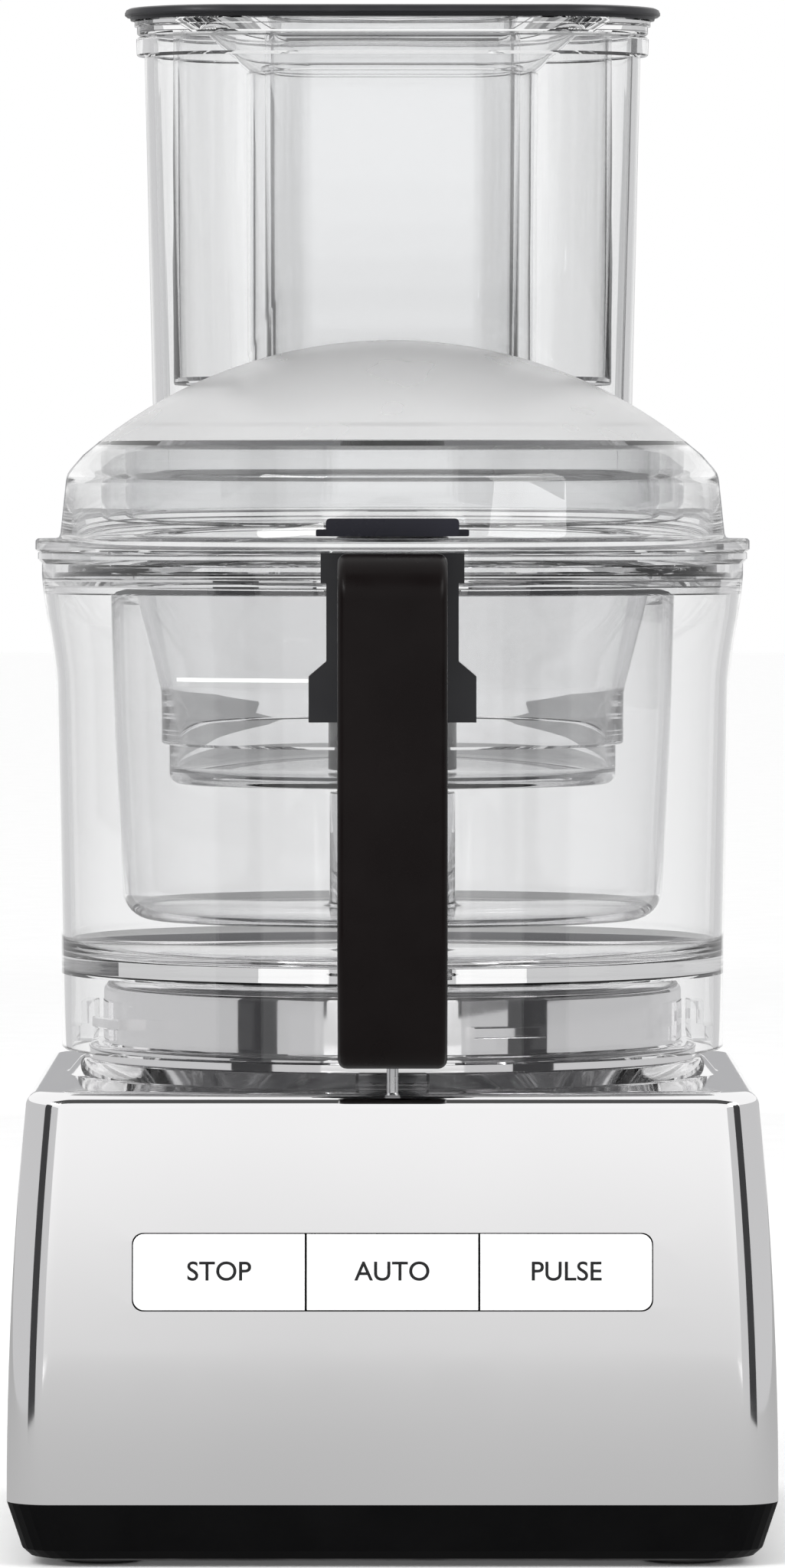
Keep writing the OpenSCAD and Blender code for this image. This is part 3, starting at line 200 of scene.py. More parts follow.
ceiling = glowing_card("ceiling_card", (0.0, -0.3, 1.25), (1.8, 3.0), (0.0, 0.0, 0.0),
                       (0.05, 0.05, 0.052), 1.0)
ceiling.visible_glossy = False
ground = glowing_card("ground_card", (0.0, -0.3, 0.0012), (1.7, 1.8), (0.0, 0.0, 0.0),
                      (0.15, 0.15, 0.155), 1.0)
ground.visible_glossy = False
overhead = glowing_card("overhead_card", (0.0, -1.0, 1.2), (1.8, 1.0), (0.0, 0.0, 0.0),
                        (0.08, 0.08, 0.08), 1.0)
overhead.visible_transmission = False
back_card = glowing_card("back_card", (0.0, 3.4, 0.45), (1.7, 0.5), (UPRIGHT, 0.0, 0.0),
                         (0.45, 0.45, 0.46), 1.0)
back_card.visible_transmission = False


def soft_light(name, where, aim, size, energy):
    """A square area light that points at a place."""
    data = bpy.data.lights.new(name, "AREA")
    data.size = size
    data.energy = energy
    light = bpy.data.objects.new(name, data)
    bpy.context.collection.objects.link(light)
    light.location = where
    across, along, rise = (aim[i] - where[i] for i in range(3))
    light.rotation_euler = (
        math.atan2(math.hypot(across, along), -rise), 0.0, math.atan2(across, -along) + math.pi
    )
    return light


soft_light("key_light", (-1.2, -1.6, 1.7), (0.0, 0.0, 0.2), 1.0, 30.0)
soft_light("fill_light", (1.4, -1.2, 1.2), (0.0, 0.0, 0.2), 1.0, 15.0)


# ---- metal housing ----
# The housing is die-cast zinc, polished and chromed. Its sides lean in as a shallow curve, its top swells
# under the collar, and a long rounded pocket in the front takes the three keys.
def chrome(name, low=0.03, high=0.07):
    """Polished chrome plate with a faint unevenness and a little wear."""
    material, tree, shader = new_material(name, Metallic=1.0, Coat_Weight=0.0)
    wear = noise(tree, 60.0, 4.0)
    tree.links.new(span(tree, wear, low, high), shader.inputs["Roughness"])
    blend_colours(tree, shader, noise(tree, 9.0, 2.0), (0.885, 0.88, 0.885), (0.925, 0.92, 0.925))
    bump(tree, shader, noise(tree, 22.0, 2.0), 0.00004, 0.35)
    return material


chromed_zinc = chrome("chromed_zinc")
weld = 0.000005
sharp_angle = 35.0


def deselect_in_edit(piece):
    """An edit mesh with nothing selected."""
    edit = bmesh.from_edit_mesh(piece.data)
    for part in (*edit.verts, *edit.edges, *edit.faces):
        part.select = False
    return edit


def finish_piece(piece, material, body, slot_name, *nodes, smooth=30.0, bevel=0.0, segments=3,
                 recalculate=True):
    """Closes a modelled piece: clean normals, an optional edge radius, shading, material and its body."""
    bpy.ops.object.select_all(action="DESELECT")
    piece.select_set(True)
    bpy.context.view_layer.objects.active = piece
    bpy.ops.object.mode_set(mode="EDIT")
    bpy.ops.mesh.select_all(action="SELECT")
    bpy.ops.mesh.remove_doubles(threshold=weld)
    if recalculate:
        bpy.ops.mesh.normals_make_consistent(inside=False)
    bpy.ops.object.mode_set(mode="OBJECT")
    if bevel:
        edge = piece.modifiers.new("edge_radius", "BEVEL")
        edge.width = bevel
        edge.segments = segments
        edge.limit_method = "ANGLE"
        edge.angle_limit = math.radians(sharp_angle)
        bpy.ops.object.modifier_apply(modifier=edge.name)
    bpy.ops.object.shade_smooth_by_angle(angle=math.radians(smooth))
    piece.data.materials.clear()
    piece.data.materials.append(material)
    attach(piece, body)
    if nodes:
        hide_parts(*nodes)
    return piece


house_low, house_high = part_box("housing")
keys_low, keys_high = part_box("stop_key")[0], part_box("pulse_key")[1]
house_w = house_high[0] - house_low[0]
house_d = house_high[1] - house_low[1]
house_y = (house_high[1] + house_low[1]) / 2
corner_radius = 0.012
side_lean = 0.005
top_radius = 0.004
top_z = house_high[2] - 0.0045
corner_guards = (0.0165, 0.020)


def housing_block(name, draw_in=0.0):
    """The housing's outer block, drawn up level by level from its rounded foot."""
    bpy.ops.object.select_all(action="DESELECT")
    bpy.ops.mesh.primitive_plane_add(size=1.0, location=(0.0, 0.0, 0.0))
    block = bpy.context.object
    block.name = name
    bpy.ops.object.mode_set(mode="EDIT")
    bpy.ops.mesh.select_all(action="SELECT")
    foot = (house_w - 2 * draw_in, house_d - 2 * draw_in)
    bpy.ops.transform.resize(value=(foot[0], foot[1], 1.0))
    bpy.ops.transform.translate(value=(0.0, house_y, house_low[2]))
    bpy.ops.mesh.bevel(offset=corner_radius, segments=14, affect="VERTICES")
    centre = (0.0, house_y)
    inset, height = 0.0, house_low[2]
    side_h = top_z - top_radius - house_low[2]
    levels = [(side_lean * (s / 12) ** 2, house_low[2] + side_h * s / 12) for s in range(1, 13)]
    for turn in range(1, 9):
        a = math.radians(turn * 11.25)
        levels.append((side_lean + top_radius * (1 - math.cos(a)),
                       top_z - top_radius + top_radius * math.sin(a)))
    for new_inset, new_height in levels:
        bpy.ops.mesh.extrude_region_move(TRANSFORM_OT_translate={"value": (0.0, 0.0, new_height - height)})
        ratio = [(side - 2 * new_inset) / (side - 2 * inset) for side in foot]
        bpy.ops.transform.resize(value=(ratio[0], ratio[1], 1.0), center_override=(*centre, new_height))
        inset, height = new_inset, new_height
    for cut, axis, half in ((0, 0, foot[0] / 2), (1, 1, foot[1] / 2)):
        for side in (-1, 1):
            for margin in corner_guards:
                point = [0.0, house_y, 0.0]
                point[axis] += side * (half - margin)
                direction = [0.0, 0.0, 0.0]
                direction[axis] = 1.0
                bpy.ops.mesh.select_all(action="SELECT")
                bpy.ops.mesh.bisect(plane_co=point, plane_no=direction)
    bpy.ops.mesh.select_all(action="SELECT")
    bpy.ops.mesh.normals_make_consistent(inside=False)
    bpy.ops.object.mode_set(mode="OBJECT")
    return block


key_clear = 0.0003
key_radius = 0.003
keys_face_low = keys_low[2] + 0.002
keys_face_high = keys_high[2] - 0.002
keys_outer_x = (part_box("stop_key")[0][0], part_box("pulse_key")[1][0])


def rounded_bar(name, x_low, x_high, z_low, z_high, y_front, y_back, radius, corners="both"):
    """An upright rounded rectangle, as long as it's told along Y."""
    bpy.ops.object.select_all(action="DESELECT")
    bpy.ops.mesh.primitive_cube_add(size=1.0, location=(0.0, 0.0, 0.0))
    bar = bpy.context.object
    bar.name = name
    bpy.ops.object.mode_set(mode="EDIT")
    bpy.ops.mesh.select_all(action="SELECT")
    bpy.ops.transform.resize(value=(x_high - x_low, y_back - y_front, z_high - z_low))
    bpy.ops.transform.translate(value=((x_low + x_high) / 2, (y_front + y_back) / 2, (z_low + z_high) / 2))
    edit = deselect_in_edit(bar)
    for line in edit.edges:
        first, second = line.verts
        along_y = abs(first.co.y - second.co.y) > 0.001
        left = first.co.x < (x_low + x_high) / 2
        if along_y and (corners == "both" or (corners == "left") == left):
            line.select = True
    bmesh.update_edit_mesh(bar.data)
    if corners != "none":
        bpy.ops.mesh.bevel(offset=radius, segments=8, affect="EDGES")
    bpy.ops.object.mode_set(mode="OBJECT")
    return bar


def boolean(piece, other, operation):
    """Cuts one piece with another and drops the other."""
    bpy.ops.object.select_all(action="DESELECT")
    piece.select_set(True)
    bpy.context.view_layer.objects.active = piece
    cut = piece.modifiers.new("cut", "BOOLEAN")
    cut.operation = operation
    cut.solver = "EXACT"
    cut.object = other
    bpy.ops.object.modifier_apply(modifier=cut.name)
    bpy.data.objects.remove(other)


housing = housing_block("housing_shell")
pocket = rounded_bar("pocket", keys_outer_x[0] - key_clear, keys_outer_x[1] + key_clear,
                     keys_face_low - key_clear, keys_face_high + key_clear,
                     house_low[1] - 0.01, house_low[1] + 0.012, key_radius)
boolean(housing, pocket, "DIFFERENCE")
finish_piece(housing, chromed_zinc, "base", "chromed_zinc", "housing", smooth=25.0, recalculate=False)
# Painted shade: the walls and back of the key pocket are coloured near black where shade falls round the keys, in
# place of lit chrome.
pocket_shade_material, pocket_tree, pocket_shader = new_material("pocket_painted_shade", Roughness=0.7, Specular_IOR_Level=0.1)
blend_colours(pocket_tree, pocket_shader, noise(pocket_tree, 300.0), (0.03, 0.03, 0.03), (0.05, 0.05, 0.05))
housing.data.materials.append(pocket_shade_material)
pocket_margin = 0.0006
painted_shade_depth = 0.03
pocket_back = 0.009
# Faces inside the key pocket take the painted shade colour.
for face in housing.data.polygons:
    spot = face.center
    depth = spot.y - house_low[1]
    inside = keys_outer_x[0] - pocket_margin < spot.x < keys_outer_x[1] + pocket_margin
    inside = inside and keys_face_low - pocket_margin < spot.z < keys_face_high + pocket_margin
    in_painted_shade = abs(depth) < painted_shade_depth and face.normal.y > -0.9 or depth > pocket_back
    if inside and in_painted_shade and depth < painted_shade_depth:
        face.material_index = 1


def arc(centre_r, centre_z, radius, start, end, steps=6):
    """Points of an arc in a half section, by angles from the outward direction up."""
    turns = [start + (end - start) * i / steps for i in range(steps + 1)]
    return [(centre_r + radius * math.cos(math.radians(a)), centre_z + radius * math.sin(math.radians(a)))
            for a in turns]


def turned(name, outline, steps=160, angle=360.0, start=0.0, centre_y=None):
    """A piece spun about an upright axis from its half section of (radius, height) points."""
    y = spindle_y if centre_y is None else centre_y
    bpy.ops.object.select_all(action="DESELECT")
    bpy.ops.mesh.primitive_plane_add(size=0.001, location=(0.0, 0.0, 0.0))
    piece = bpy.context.object
    piece.name = name
    bpy.ops.object.mode_set(mode="EDIT")
    bpy.ops.mesh.select_all(action="SELECT")
    bpy.ops.mesh.merge(type="CENTER")
    bpy.ops.transform.translate(value=(outline[0][0], y, outline[0][1]))
    for here, there in zip(outline, outline[1:]):
        move = (there[0] - here[0], 0.0, there[1] - here[1])
        bpy.ops.mesh.extrude_region_move(TRANSFORM_OT_translate={"value": move})
    bpy.ops.mesh.select_all(action="SELECT")
    if start:
        bpy.ops.transform.rotate(value=-math.radians(start), orient_axis="Z", center_override=(0.0, y, 0.0))
    bpy.ops.mesh.spin(steps=steps, angle=math.radians(angle), center=(0.0, y, 0.0), axis=(0.0, 0.0, -1.0))
    bpy.ops.mesh.select_all(action="SELECT")
    bpy.ops.mesh.remove_doubles(threshold=weld)
    if angle < 360.0:
        bpy.ops.mesh.fill_holes(sides=0)
    bpy.ops.mesh.normals_make_consistent(inside=False)
    bpy.ops.object.mode_set(mode="OBJECT")
    return piece


swell_z = house_high[2]
swell = turned("top_swell", [
    (0.016, top_z - 0.001), (0.0902, top_z - 0.001), (0.0902, top_z), (0.0895, top_z + 0.0003),
    (0.0865, swell_z - 0.0006), (0.0855, swell_z - 0.0001), (0.0845, swell_z), (0.016, swell_z),
    (0.016, top_z - 0.001)])
finish_piece(swell, chromed_zinc, "base", "chromed_zinc")

# ---- collar ----
# A polished round drum with a foot ring is screwed to the housing's top, and the bowl's skirt stands round
# it. Four ears on the drum hold the bowl's lugs down.
collar_low, collar_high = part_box("bowl_collar")
collar_r = 0.080
foot_r = collar_r + 0.004
collar_foot = collar_low[2]
collar_top = collar_high[2]
ear_angle = 14.0
ear_turn = 22.0
collar = turned("collar_drum", [
    (collar_r - 0.0025, collar_foot), (foot_r, collar_foot), (foot_r, collar_foot + 0.003),
    *arc(foot_r - 0.001, collar_foot + 0.003, 0.001, 0, 90, 4), (collar_r + 0.0004, collar_foot + 0.004),
    (collar_r, collar_foot + 0.0045), *arc(collar_r - 0.003, collar_top - 0.003, 0.003, 0, 90, 8),
    (0.0142, collar_top), (0.0140, collar_top - 0.0025), (collar_r - 0.0025, collar_top - 0.0025),
    (collar_r - 0.0025, collar_foot)])
for turn in range(4):
    ear = turned(f"collar_ear_{turn}", [
        (collar_r - 0.001, collar_foot + 0.009), (collar_r + 0.0042, collar_foot + 0.009),
        (collar_r + 0.0045, collar_foot + 0.0093), (collar_r + 0.0045, collar_foot + 0.0117),
        (collar_r + 0.0042, collar_foot + 0.012), (collar_r - 0.001, collar_foot + 0.012),
        (collar_r - 0.001, collar_foot + 0.009)], steps=10, angle=ear_angle,
        start=turn * 90.0 + ear_turn - ear_angle / 2)
    finish_piece(ear, chromed_zinc, "base", "chromed_zinc")
finish_piece(collar, chromed_zinc, "base", "chromed_zinc", "bowl_collar")

# ---- keys ----
# Three chromed keys fill one rounded opening and follow the front's lean. Each is pressed straight in, and
# each carries a plain printed word for what it does.
ink_material, ink_tree, ink_shader = new_material("key_ink", Roughness=0.6, Specular_IOR_Level=0.1)
blend_colours(ink_tree, ink_shader, noise(ink_tree, 900.0), (0.010, 0.010, 0.011), (0.016, 0.016, 0.017))
key_face, face_tree, face_shader = new_material("key_face", Metallic=0.35)
blend_colours(face_tree, face_shader, noise(face_tree, 30.0), (0.93, 0.93, 0.935), (0.97, 0.97, 0.975))
face_tree.links.new(span(face_tree, noise(face_tree, 500.0, 3.0, (0.1, 1.0, 1.0)), 0.22, 0.34),
                    face_shader.inputs["Roughness"])
bump(face_tree, face_shader, noise(face_tree, 700.0, 2.0, (0.1, 1.0, 1.0)), 0.00001, 0.3)
# Painted shade: the sides and backs of the keys are coloured near black, in place of the shade in the thin gaps
# between and round the keys.
gap_shade_material, gap_tree, gap_shader = new_material("key_gap", Roughness=0.7, Specular_IOR_Level=0.1)
blend_colours(gap_tree, gap_shader, noise(gap_tree, 300.0), (0.03, 0.03, 0.03), (0.05, 0.05, 0.05))
front_y = house_low[1]
word_size = 0.0072


def key_plate(name, body, x_low, x_high, corners, word):
    """One key, cut from the housing's own outer shape, with its printed word."""
    block = housing_block(name, 0.00012)
    bar = rounded_bar(name + "_bar", x_low, x_high, keys_face_low, keys_face_high, front_y - 0.01,
                      front_y + 0.0085, key_radius, corners)
    boolean(block, bar, "INTERSECT")
    finish_piece(block, key_face, body, "chromed_zinc", name, smooth=25.0, bevel=0.0002, segments=2)
    # Faces of the key that don't face forward take the painted shade colour.
    block.data.materials.append(gap_shade_material)
    for face in block.data.polygons:
        if face.normal.y > -0.5:
            face.material_index = 1
    bpy.ops.object.select_all(action="DESELECT")
    bpy.ops.object.text_add(location=(0.0, 0.0, 0.0))
    letters = bpy.context.object
    letters.name = name + "_word"
    letters.data.body = word
    letters.data.size = word_size
    letters.data.offset = 0.00006
    letters.data.align_x = "CENTER"
    letters.data.align_y = "CENTER"
    letters.data.extrude = 0.00004
    bpy.ops.object.convert(target="MESH")
    letters = bpy.context.object
    height = (keys_face_low + keys_face_high) / 2
    lean = side_lean * ((height - house_low[2]) / (top_z - top_radius - house_low[2])) ** 2
    slope = 2 * lean / (height - house_low[2])
    letters.rotation_euler = (UPRIGHT - slope, 0.0, 0.0)
    letters.location = ((x_low + x_high) / 2, front_y + 0.00012 + lean - 0.00003, height)
    bpy.ops.object.transform_apply(location=True, rotation=True, scale=True)
    finish_piece(letters, ink_material, body, "black_plastic", smooth=10.0, recalculate=False)


key_bounds = {name: (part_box(name)[0][0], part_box(name)[1][0]) for name in ("stop_key", "auto_key", "pulse_key")}
key_plate("stop_key", "stop_key", *key_bounds["stop_key"], "left", "STOP")
key_plate("auto_key", "auto_key", *key_bounds["auto_key"], "none", "AUTO")
key_plate("pulse_key", "pulse_key", *key_bounds["pulse_key"], "right", "PULSE")


# ---- clear bowls ----
# The main bowl, the middle bowl and the small conical bowl are moulded in clear plastic and nest inside each
# other. Each has a chimney round the spindle, and the inner two hang by their rims.
acrylic_ior = 1.49


def clear_plastic(name, tint, roughness=0.006):
    """Clear moulded plastic with a faint haze and slightly uneven walls."""
    material, tree, shader = new_material(name, Transmission_Weight=1.0, IOR=acrylic_ior)
    haze = noise(tree, 35.0, 3.0)
    tree.links.new(span(tree, haze, roughness * 0.6, roughness * 1.8), shader.inputs["Roughness"])
    blend_colours(tree, shader, noise(tree, 6.0, 2.0), tint, tuple(min(1.0, c * 1.006) for c in tint))
    bump(tree, shader, noise(tree, 30.0, 2.0), 0.00003, 0.2)
    return material


bowl_plastic = clear_plastic("bowl_plastic", (0.975, 0.976, 0.978))
inner_plastic = clear_plastic("inner_bowl_plastic", (0.975, 0.976, 0.978))
bowl_low, bowl_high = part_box("main_bowl")
rim_z = bowl_high[2]
skirt_z = bowl_low[2]
bowl_floor_under = collar_top + 0.0024
bowl_floor = bowl_floor_under + 0.0038
wall = 0.0026
skirt_r = 0.0915
waist_r = 0.0930
shoulder_r = 0.0969
flare_low = rim_z - 0.036
flare_high = rim_z - 0.0065
ledge = rim_z - 0.0075


def flare(t):
    """Share of the bowl's flare that is reached at a share of its height."""
    return 0.55 * t + 0.45 * t * t * (3 - 2 * t)


side_outer = [(waist_r + (shoulder_r - waist_r) * flare(i / 8), flare_low + (flare_high - flare_low) * i / 8)
              for i in range(9)]
side_inner = [(r - wall, z) for r, z in reversed(side_outer) if z < ledge - 0.003]
main_bowl = turned("main_bowl_shell", [
    (skirt_r - wall, skirt_z + 0.0006), (skirt_r - wall + 0.0006, skirt_z), (skirt_r - 0.0006, skirt_z),
    (skirt_r, skirt_z + 0.0006), (skirt_r + 0.0001, bowl_floor_under + 0.008), *side_outer,
    (shoulder_r, rim_z - 0.0034), (shoulder_r + 0.0004, rim_z - 0.0028), (0.0976, rim_z - 0.0025),
    (0.0980, rim_z - 0.0021), (0.0980, rim_z - 0.0005), (0.0975, rim_z), (0.0947, rim_z),
    (0.0943, rim_z - 0.0004), (0.0943, ledge + 0.0002), (0.0941, ledge), (0.0917, ledge),
    (0.0913, ledge - 0.0004), (0.0913, ledge - 0.0015), (0.0937, ledge - 0.0040), *side_inner[1:],
    (skirt_r - wall, bowl_floor + 0.006), *arc(skirt_r - wall - 0.005, bowl_floor + 0.005, 0.005, 0, -90, 6),
    (0.0175, bowl_floor), (0.0155, bowl_floor + 0.0012), (0.0146, bowl_floor + 0.004),
    (0.0145, bowl_floor + 0.0395), (0.0141, bowl_floor + 0.040), (0.0124, bowl_floor + 0.040),
    (0.0120, bowl_floor + 0.0396), (0.0120, bowl_floor_under + 0.0004), (0.0124, bowl_floor_under),
    (skirt_r - wall - 0.001, bowl_floor_under), (skirt_r - wall, bowl_floor_under - 0.001),
    (skirt_r - wall, skirt_z + 0.0006)], steps=192)
finish_piece(main_bowl, bowl_plastic, "bowl", "clear_plastic", "main_bowl")
lug_z = collar_foot + 0.0045
for turn in range(4):
    lug = turned(f"bowl_lug_{turn}", [
        (collar_r + 0.0029, lug_z + 0.0003), (collar_r + 0.0032, lug_z), (skirt_r - wall - 0.0001, lug_z),
        (skirt_r - wall - 0.0001, lug_z + 0.004), (collar_r + 0.0061, lug_z + 0.0042),
        (collar_r + 0.0061, lug_z + 0.0108), (collar_r + 0.0058, lug_z + 0.0111),
        (collar_r + 0.0028, lug_z + 0.0111), (collar_r + 0.0025, lug_z + 0.0108),
        (collar_r + 0.0025, lug_z + 0.003), (collar_r + 0.0029, lug_z + 0.0003)],
        steps=12, angle=ear_angle, start=turn * 90.0 - ear_angle / 2)
    finish_piece(lug, bowl_plastic, "bowl", "clear_plastic")

print_material, print_tree, print_shader = new_material("level_line_print", Roughness=0.5)
blend_colours(print_tree, print_shader, noise(print_tree, 700.0), (0.88, 0.88, 0.88), (0.97, 0.97, 0.97))
level_z = rim_z - 0.0347
level_r = waist_r + 0.0003
line_start, line_angle = 231.6, 27.6
level_line = turned("level_line", [
    (level_r, level_z), (level_r + 0.0001, level_z), (level_r + 0.0002, level_z + 0.0010),
    (level_r + 0.0001, level_z + 0.0010), (level_r, level_z)], steps=40, angle=line_angle, start=line_start)
finish_piece(level_line, print_material, "bowl", "clear_plastic")

midi_low, midi_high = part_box("midi_bowl")
midi_z = midi_low[2]
midi_rim = midi_high[2]
midi_floor = midi_z + 0.002
midi_r = 0.078
midi_waist = midi_z + 0.0517
midi_bowl = turned("midi_bowl_shell", [
    (0.0154, midi_z + 0.0004), (0.0158, midi_z), (0.0666, midi_z), *arc(0.0666, midi_z + 0.008, 0.008, -90, -5, 9),
    (0.0769, midi_waist), (midi_r, ledge - 0.003), (midi_r + 0.0003, ledge - 0.0004), (midi_r + 0.0008, ledge),
    (0.0934, ledge), (0.0938, ledge + 0.0004), (0.0938, midi_rim - 0.0004), (0.0934, midi_rim),
    (midi_r - 0.0014, midi_rim), (midi_r - 0.002, midi_rim - 0.0006), (0.0749, midi_waist),
    *arc(0.0666, midi_z + 0.008, 0.006, -5, -90, 8), (0.0194, midi_floor), (0.0178, midi_floor + 0.001),
    (0.0174, midi_floor + 0.003), (0.0174, midi_z + 0.0346), (0.0170, midi_z + 0.035), (0.0158, midi_z + 0.035),
    (0.0154, midi_z + 0.0346), (0.0154, midi_z + 0.0004)], steps=176)
finish_piece(midi_bowl, inner_plastic, "midi", "clear_plastic", "midi_bowl")

mini_low, mini_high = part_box("mini_bowl")
mini_z = mini_low[2]
mini_rim = mini_high[2]
mini_floor = mini_z + 0.002
mini_bowl = turned("mini_bowl_shell", [
    (0.0090, mini_z + 0.0004), (0.0094, mini_z), (0.0588, mini_z), *arc(0.0588, mini_z + 0.003, 0.003, -90, 0, 6),
    (0.0618, mini_z + 0.0107), (0.0622, mini_z + 0.0111), (0.0635, mini_z + 0.0111), (0.0639, mini_z + 0.0115),
    (0.0639, mini_z + 0.0174), (0.0640, mini_z + 0.0256), (0.0644, mini_z + 0.0275), (0.0718, ledge + 0.001),
    (0.0719, midi_rim - 0.0004), (0.0723, midi_rim + 0.00002), (0.0894, midi_rim + 0.00002),
    (0.0898, midi_rim + 0.0004), (0.0898, mini_rim - 0.0004), (0.0894, mini_rim), (0.0704, mini_rim),
    (0.0698, mini_rim - 0.0006), (0.0624, mini_z + 0.0279), (0.0620, mini_z + 0.0258),
    (0.0598, mini_z + 0.0136), (0.0598, mini_floor + 0.003), *arc(0.0568, mini_floor + 0.003, 0.003, 0, -90, 5),
    (0.0120, mini_floor), (0.0110, mini_floor + 0.0010), (0.0110, mini_floor + 0.0316),
    (0.0106, mini_floor + 0.032), (0.0094, mini_floor + 0.032), (0.0090, mini_floor + 0.0316),
    (0.0090, mini_z + 0.0004)], steps=176)
finish_piece(mini_bowl, inner_plastic, "mini", "clear_plastic", "mini_bowl")

# ---- lid and feed tube ----
# The lid is a shallow clear dome with a flat flange. Its wide oval feed tube is moulded in one with it and
# stands behind the middle, and two round ribs hang under the dome. The dome's cap is hazier than the rest.
lid_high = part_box("lid_shell")[1]
tube_low, tube_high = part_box("feed_tube")
lid_plastic = clear_plastic("lid_plastic", (0.965, 0.967, 0.969))
dome_plastic, dome_tree, dome_shader = new_material("dome_plastic", Transmission_Weight=0.55, IOR=acrylic_ior)
blend_colours(dome_tree, dome_shader, noise(dome_tree, 5.0, 1.0), (0.80, 0.80, 0.803), (0.815, 0.815, 0.818))
dome_tree.links.new(span(dome_tree, noise(dome_tree, 40.0, 2.0), 0.24, 0.28), dome_shader.inputs["Roughness"])
lid_z = rim_z
flange_top = lid_z + 0.0035
shoulder_z = lid_z + 0.0225
dome_top = lid_high[2]
dome_edge_r = 0.090
dome_rise = dome_top - shoulder_z
dome_r = (dome_edge_r ** 2 + dome_rise ** 2) / (2 * dome_rise)
lid_wall = 0.002
dome_cap_r = 0.0806


def dome_z(r, depth=0.0):
    """Height of the dome at a radius, at a depth under its outer surface."""
    return dome_top - dome_r + math.sqrt((dome_r - depth) ** 2 - r ** 2)


dome_outer = [(dome_edge_r * s / 20, dome_z(dome_edge_r * s / 20)) for s in range(19, -1, -1)]
inner_r = dome_edge_r - lid_wall
dome_inner = [(inner_r * s / 20, dome_z(inner_r * s / 20, lid_wall)) for s in range(0, 20)]
shell_side = dome_edge_r + 0.0018
lid_shell = turned("lid_and_tube", [
    (0.0938, lid_z - 0.0001), (0.0982, lid_z), (0.0987, lid_z + 0.0005), (0.0987, flange_top - 0.0006),
    (0.0981, flange_top), (shell_side + 0.0014, flange_top), (shell_side + 0.0004, flange_top + 0.0004),
    (shell_side, flange_top + 0.0014), (dome_edge_r + 0.0003, shoulder_z - 0.0035),
    (dome_edge_r + 0.0001, shoulder_z - 0.0022), (dome_edge_r - 0.0003, shoulder_z - 0.0010),
    (dome_edge_r - 0.0012, shoulder_z + 0.0003), *dome_outer, *dome_inner,
    (inner_r - 0.0014, shoulder_z - 0.0010), (inner_r - 0.0003, shoulder_z - 0.0025),
    (inner_r, shoulder_z - 0.0040), (shell_side - lid_wall, flange_top), (shell_side - lid_wall, lid_z - 0.0031),
    (shell_side - lid_wall + 0.0004, lid_z - 0.0035), (0.0934, lid_z - 0.0035), (0.0938, lid_z - 0.0031),
    (0.0938, lid_z - 0.0001)], steps=192)
for rib_r in (0.0807, 0.0739):
    rib = turned("rib", [
        (rib_r - 0.0016, lid_z + 0.0065), (rib_r - 0.0011, lid_z + 0.006), (rib_r - 0.0005, lid_z + 0.006),
        (rib_r, lid_z + 0.0065), (rib_r, dome_z(rib_r, lid_wall) + 0.0008),
        (rib_r - 0.0016, dome_z(rib_r - 0.0016, lid_wall) + 0.0008), (rib_r - 0.0016, lid_z + 0.0065)], steps=192)
    boolean(lid_shell, rib, "UNION")

tube_y = (tube_low[1] + tube_high[1]) / 2
tube_top = tube_high[2]
tube_end_r = 0.027
tube_reach = 0.0694 - tube_end_r
tube_taper = 0.003
tube_wall = 0.002
tube_rim = tube_top - 0.0053


def drawn_out(piece, reach):
    """Turns a round piece into an oval one by moving its two halves apart along X."""
    bpy.ops.object.select_all(action="DESELECT")
    piece.select_set(True)
    bpy.context.view_layer.objects.active = piece
    bpy.ops.object.mode_set(mode="EDIT")
    edit = bmesh.from_edit_mesh(piece.data)
    for point in edit.verts:
        if abs(point.co.x) > 0.00001:
            r = math.hypot(point.co.x, point.co.y - tube_y)
            point.co.x += math.copysign(reach(r, point.co.z), point.co.x)
    bmesh.update_edit_mesh(piece.data)
    bpy.ops.object.mode_set(mode="OBJECT")
    return piece


def tube_spread(_, z):
    """How far the tube's halves stand apart at a height, at any radius."""
    low = shoulder_z + 0.01
    return tube_reach - tube_taper * max(0.0, min(1.0, (tube_top - z) / (tube_top - low)))


def oval_prism(name, outline, reach, steps=144):
    """An oval piece round the tube's middle, from its half section."""
    return drawn_out(turned(name, outline, steps=steps, centre_y=tube_y), reach)


prism_low = lid_z + 0.012
tube_block = oval_prism("tube_block", [
    (0.0, prism_low), (tube_end_r, prism_low), (tube_end_r, tube_rim - 0.0004), (tube_end_r + 0.0004, tube_rim),
    (tube_end_r + 0.0018, tube_rim), (tube_end_r + 0.0022, tube_rim + 0.0004),
    (tube_end_r + 0.0022, tube_top - 0.0006), (tube_end_r + 0.0016, tube_top), (0.0, tube_top)], tube_spread)
under_dome = turned("under_dome", [
    (0.0, lid_z - 0.01), (0.0885, lid_z - 0.01), (0.0885, dome_z(0.0885, 0.001)),
    *[(0.0885 * s / 20, dome_z(0.0885 * s / 20, 0.001)) for s in range(19, -1, -1)]], steps=128)
boolean(tube_block, under_dome, "DIFFERENCE")
boolean(lid_shell, tube_block, "UNION")
tube_bore = oval_prism("tube_bore", [
    (0.0, lid_z + 0.0325), (tube_end_r - tube_wall, lid_z + 0.0325), (tube_end_r - tube_wall, tube_top + 0.01),
    (0.0, tube_top + 0.01)], tube_spread)
boolean(lid_shell, tube_bore, "DIFFERENCE")
finish_piece(lid_shell, lid_plastic, "lid", "clear_plastic", "lid_shell", "feed_tube", smooth=28.0,
             recalculate=False)
lid_shell.data.materials.append(dome_plastic)
for face in lid_shell.data.polygons:
    spot = face.center
    r = math.hypot(spot.x, spot.y - spindle_y)
    in_wall = r < dome_cap_r and dome_z(r, lid_wall) - 0.0004 < spot.z < dome_z(r) + 0.0004
    if in_wall and abs(face.normal.z) > 0.3:
        face.material_index = 1

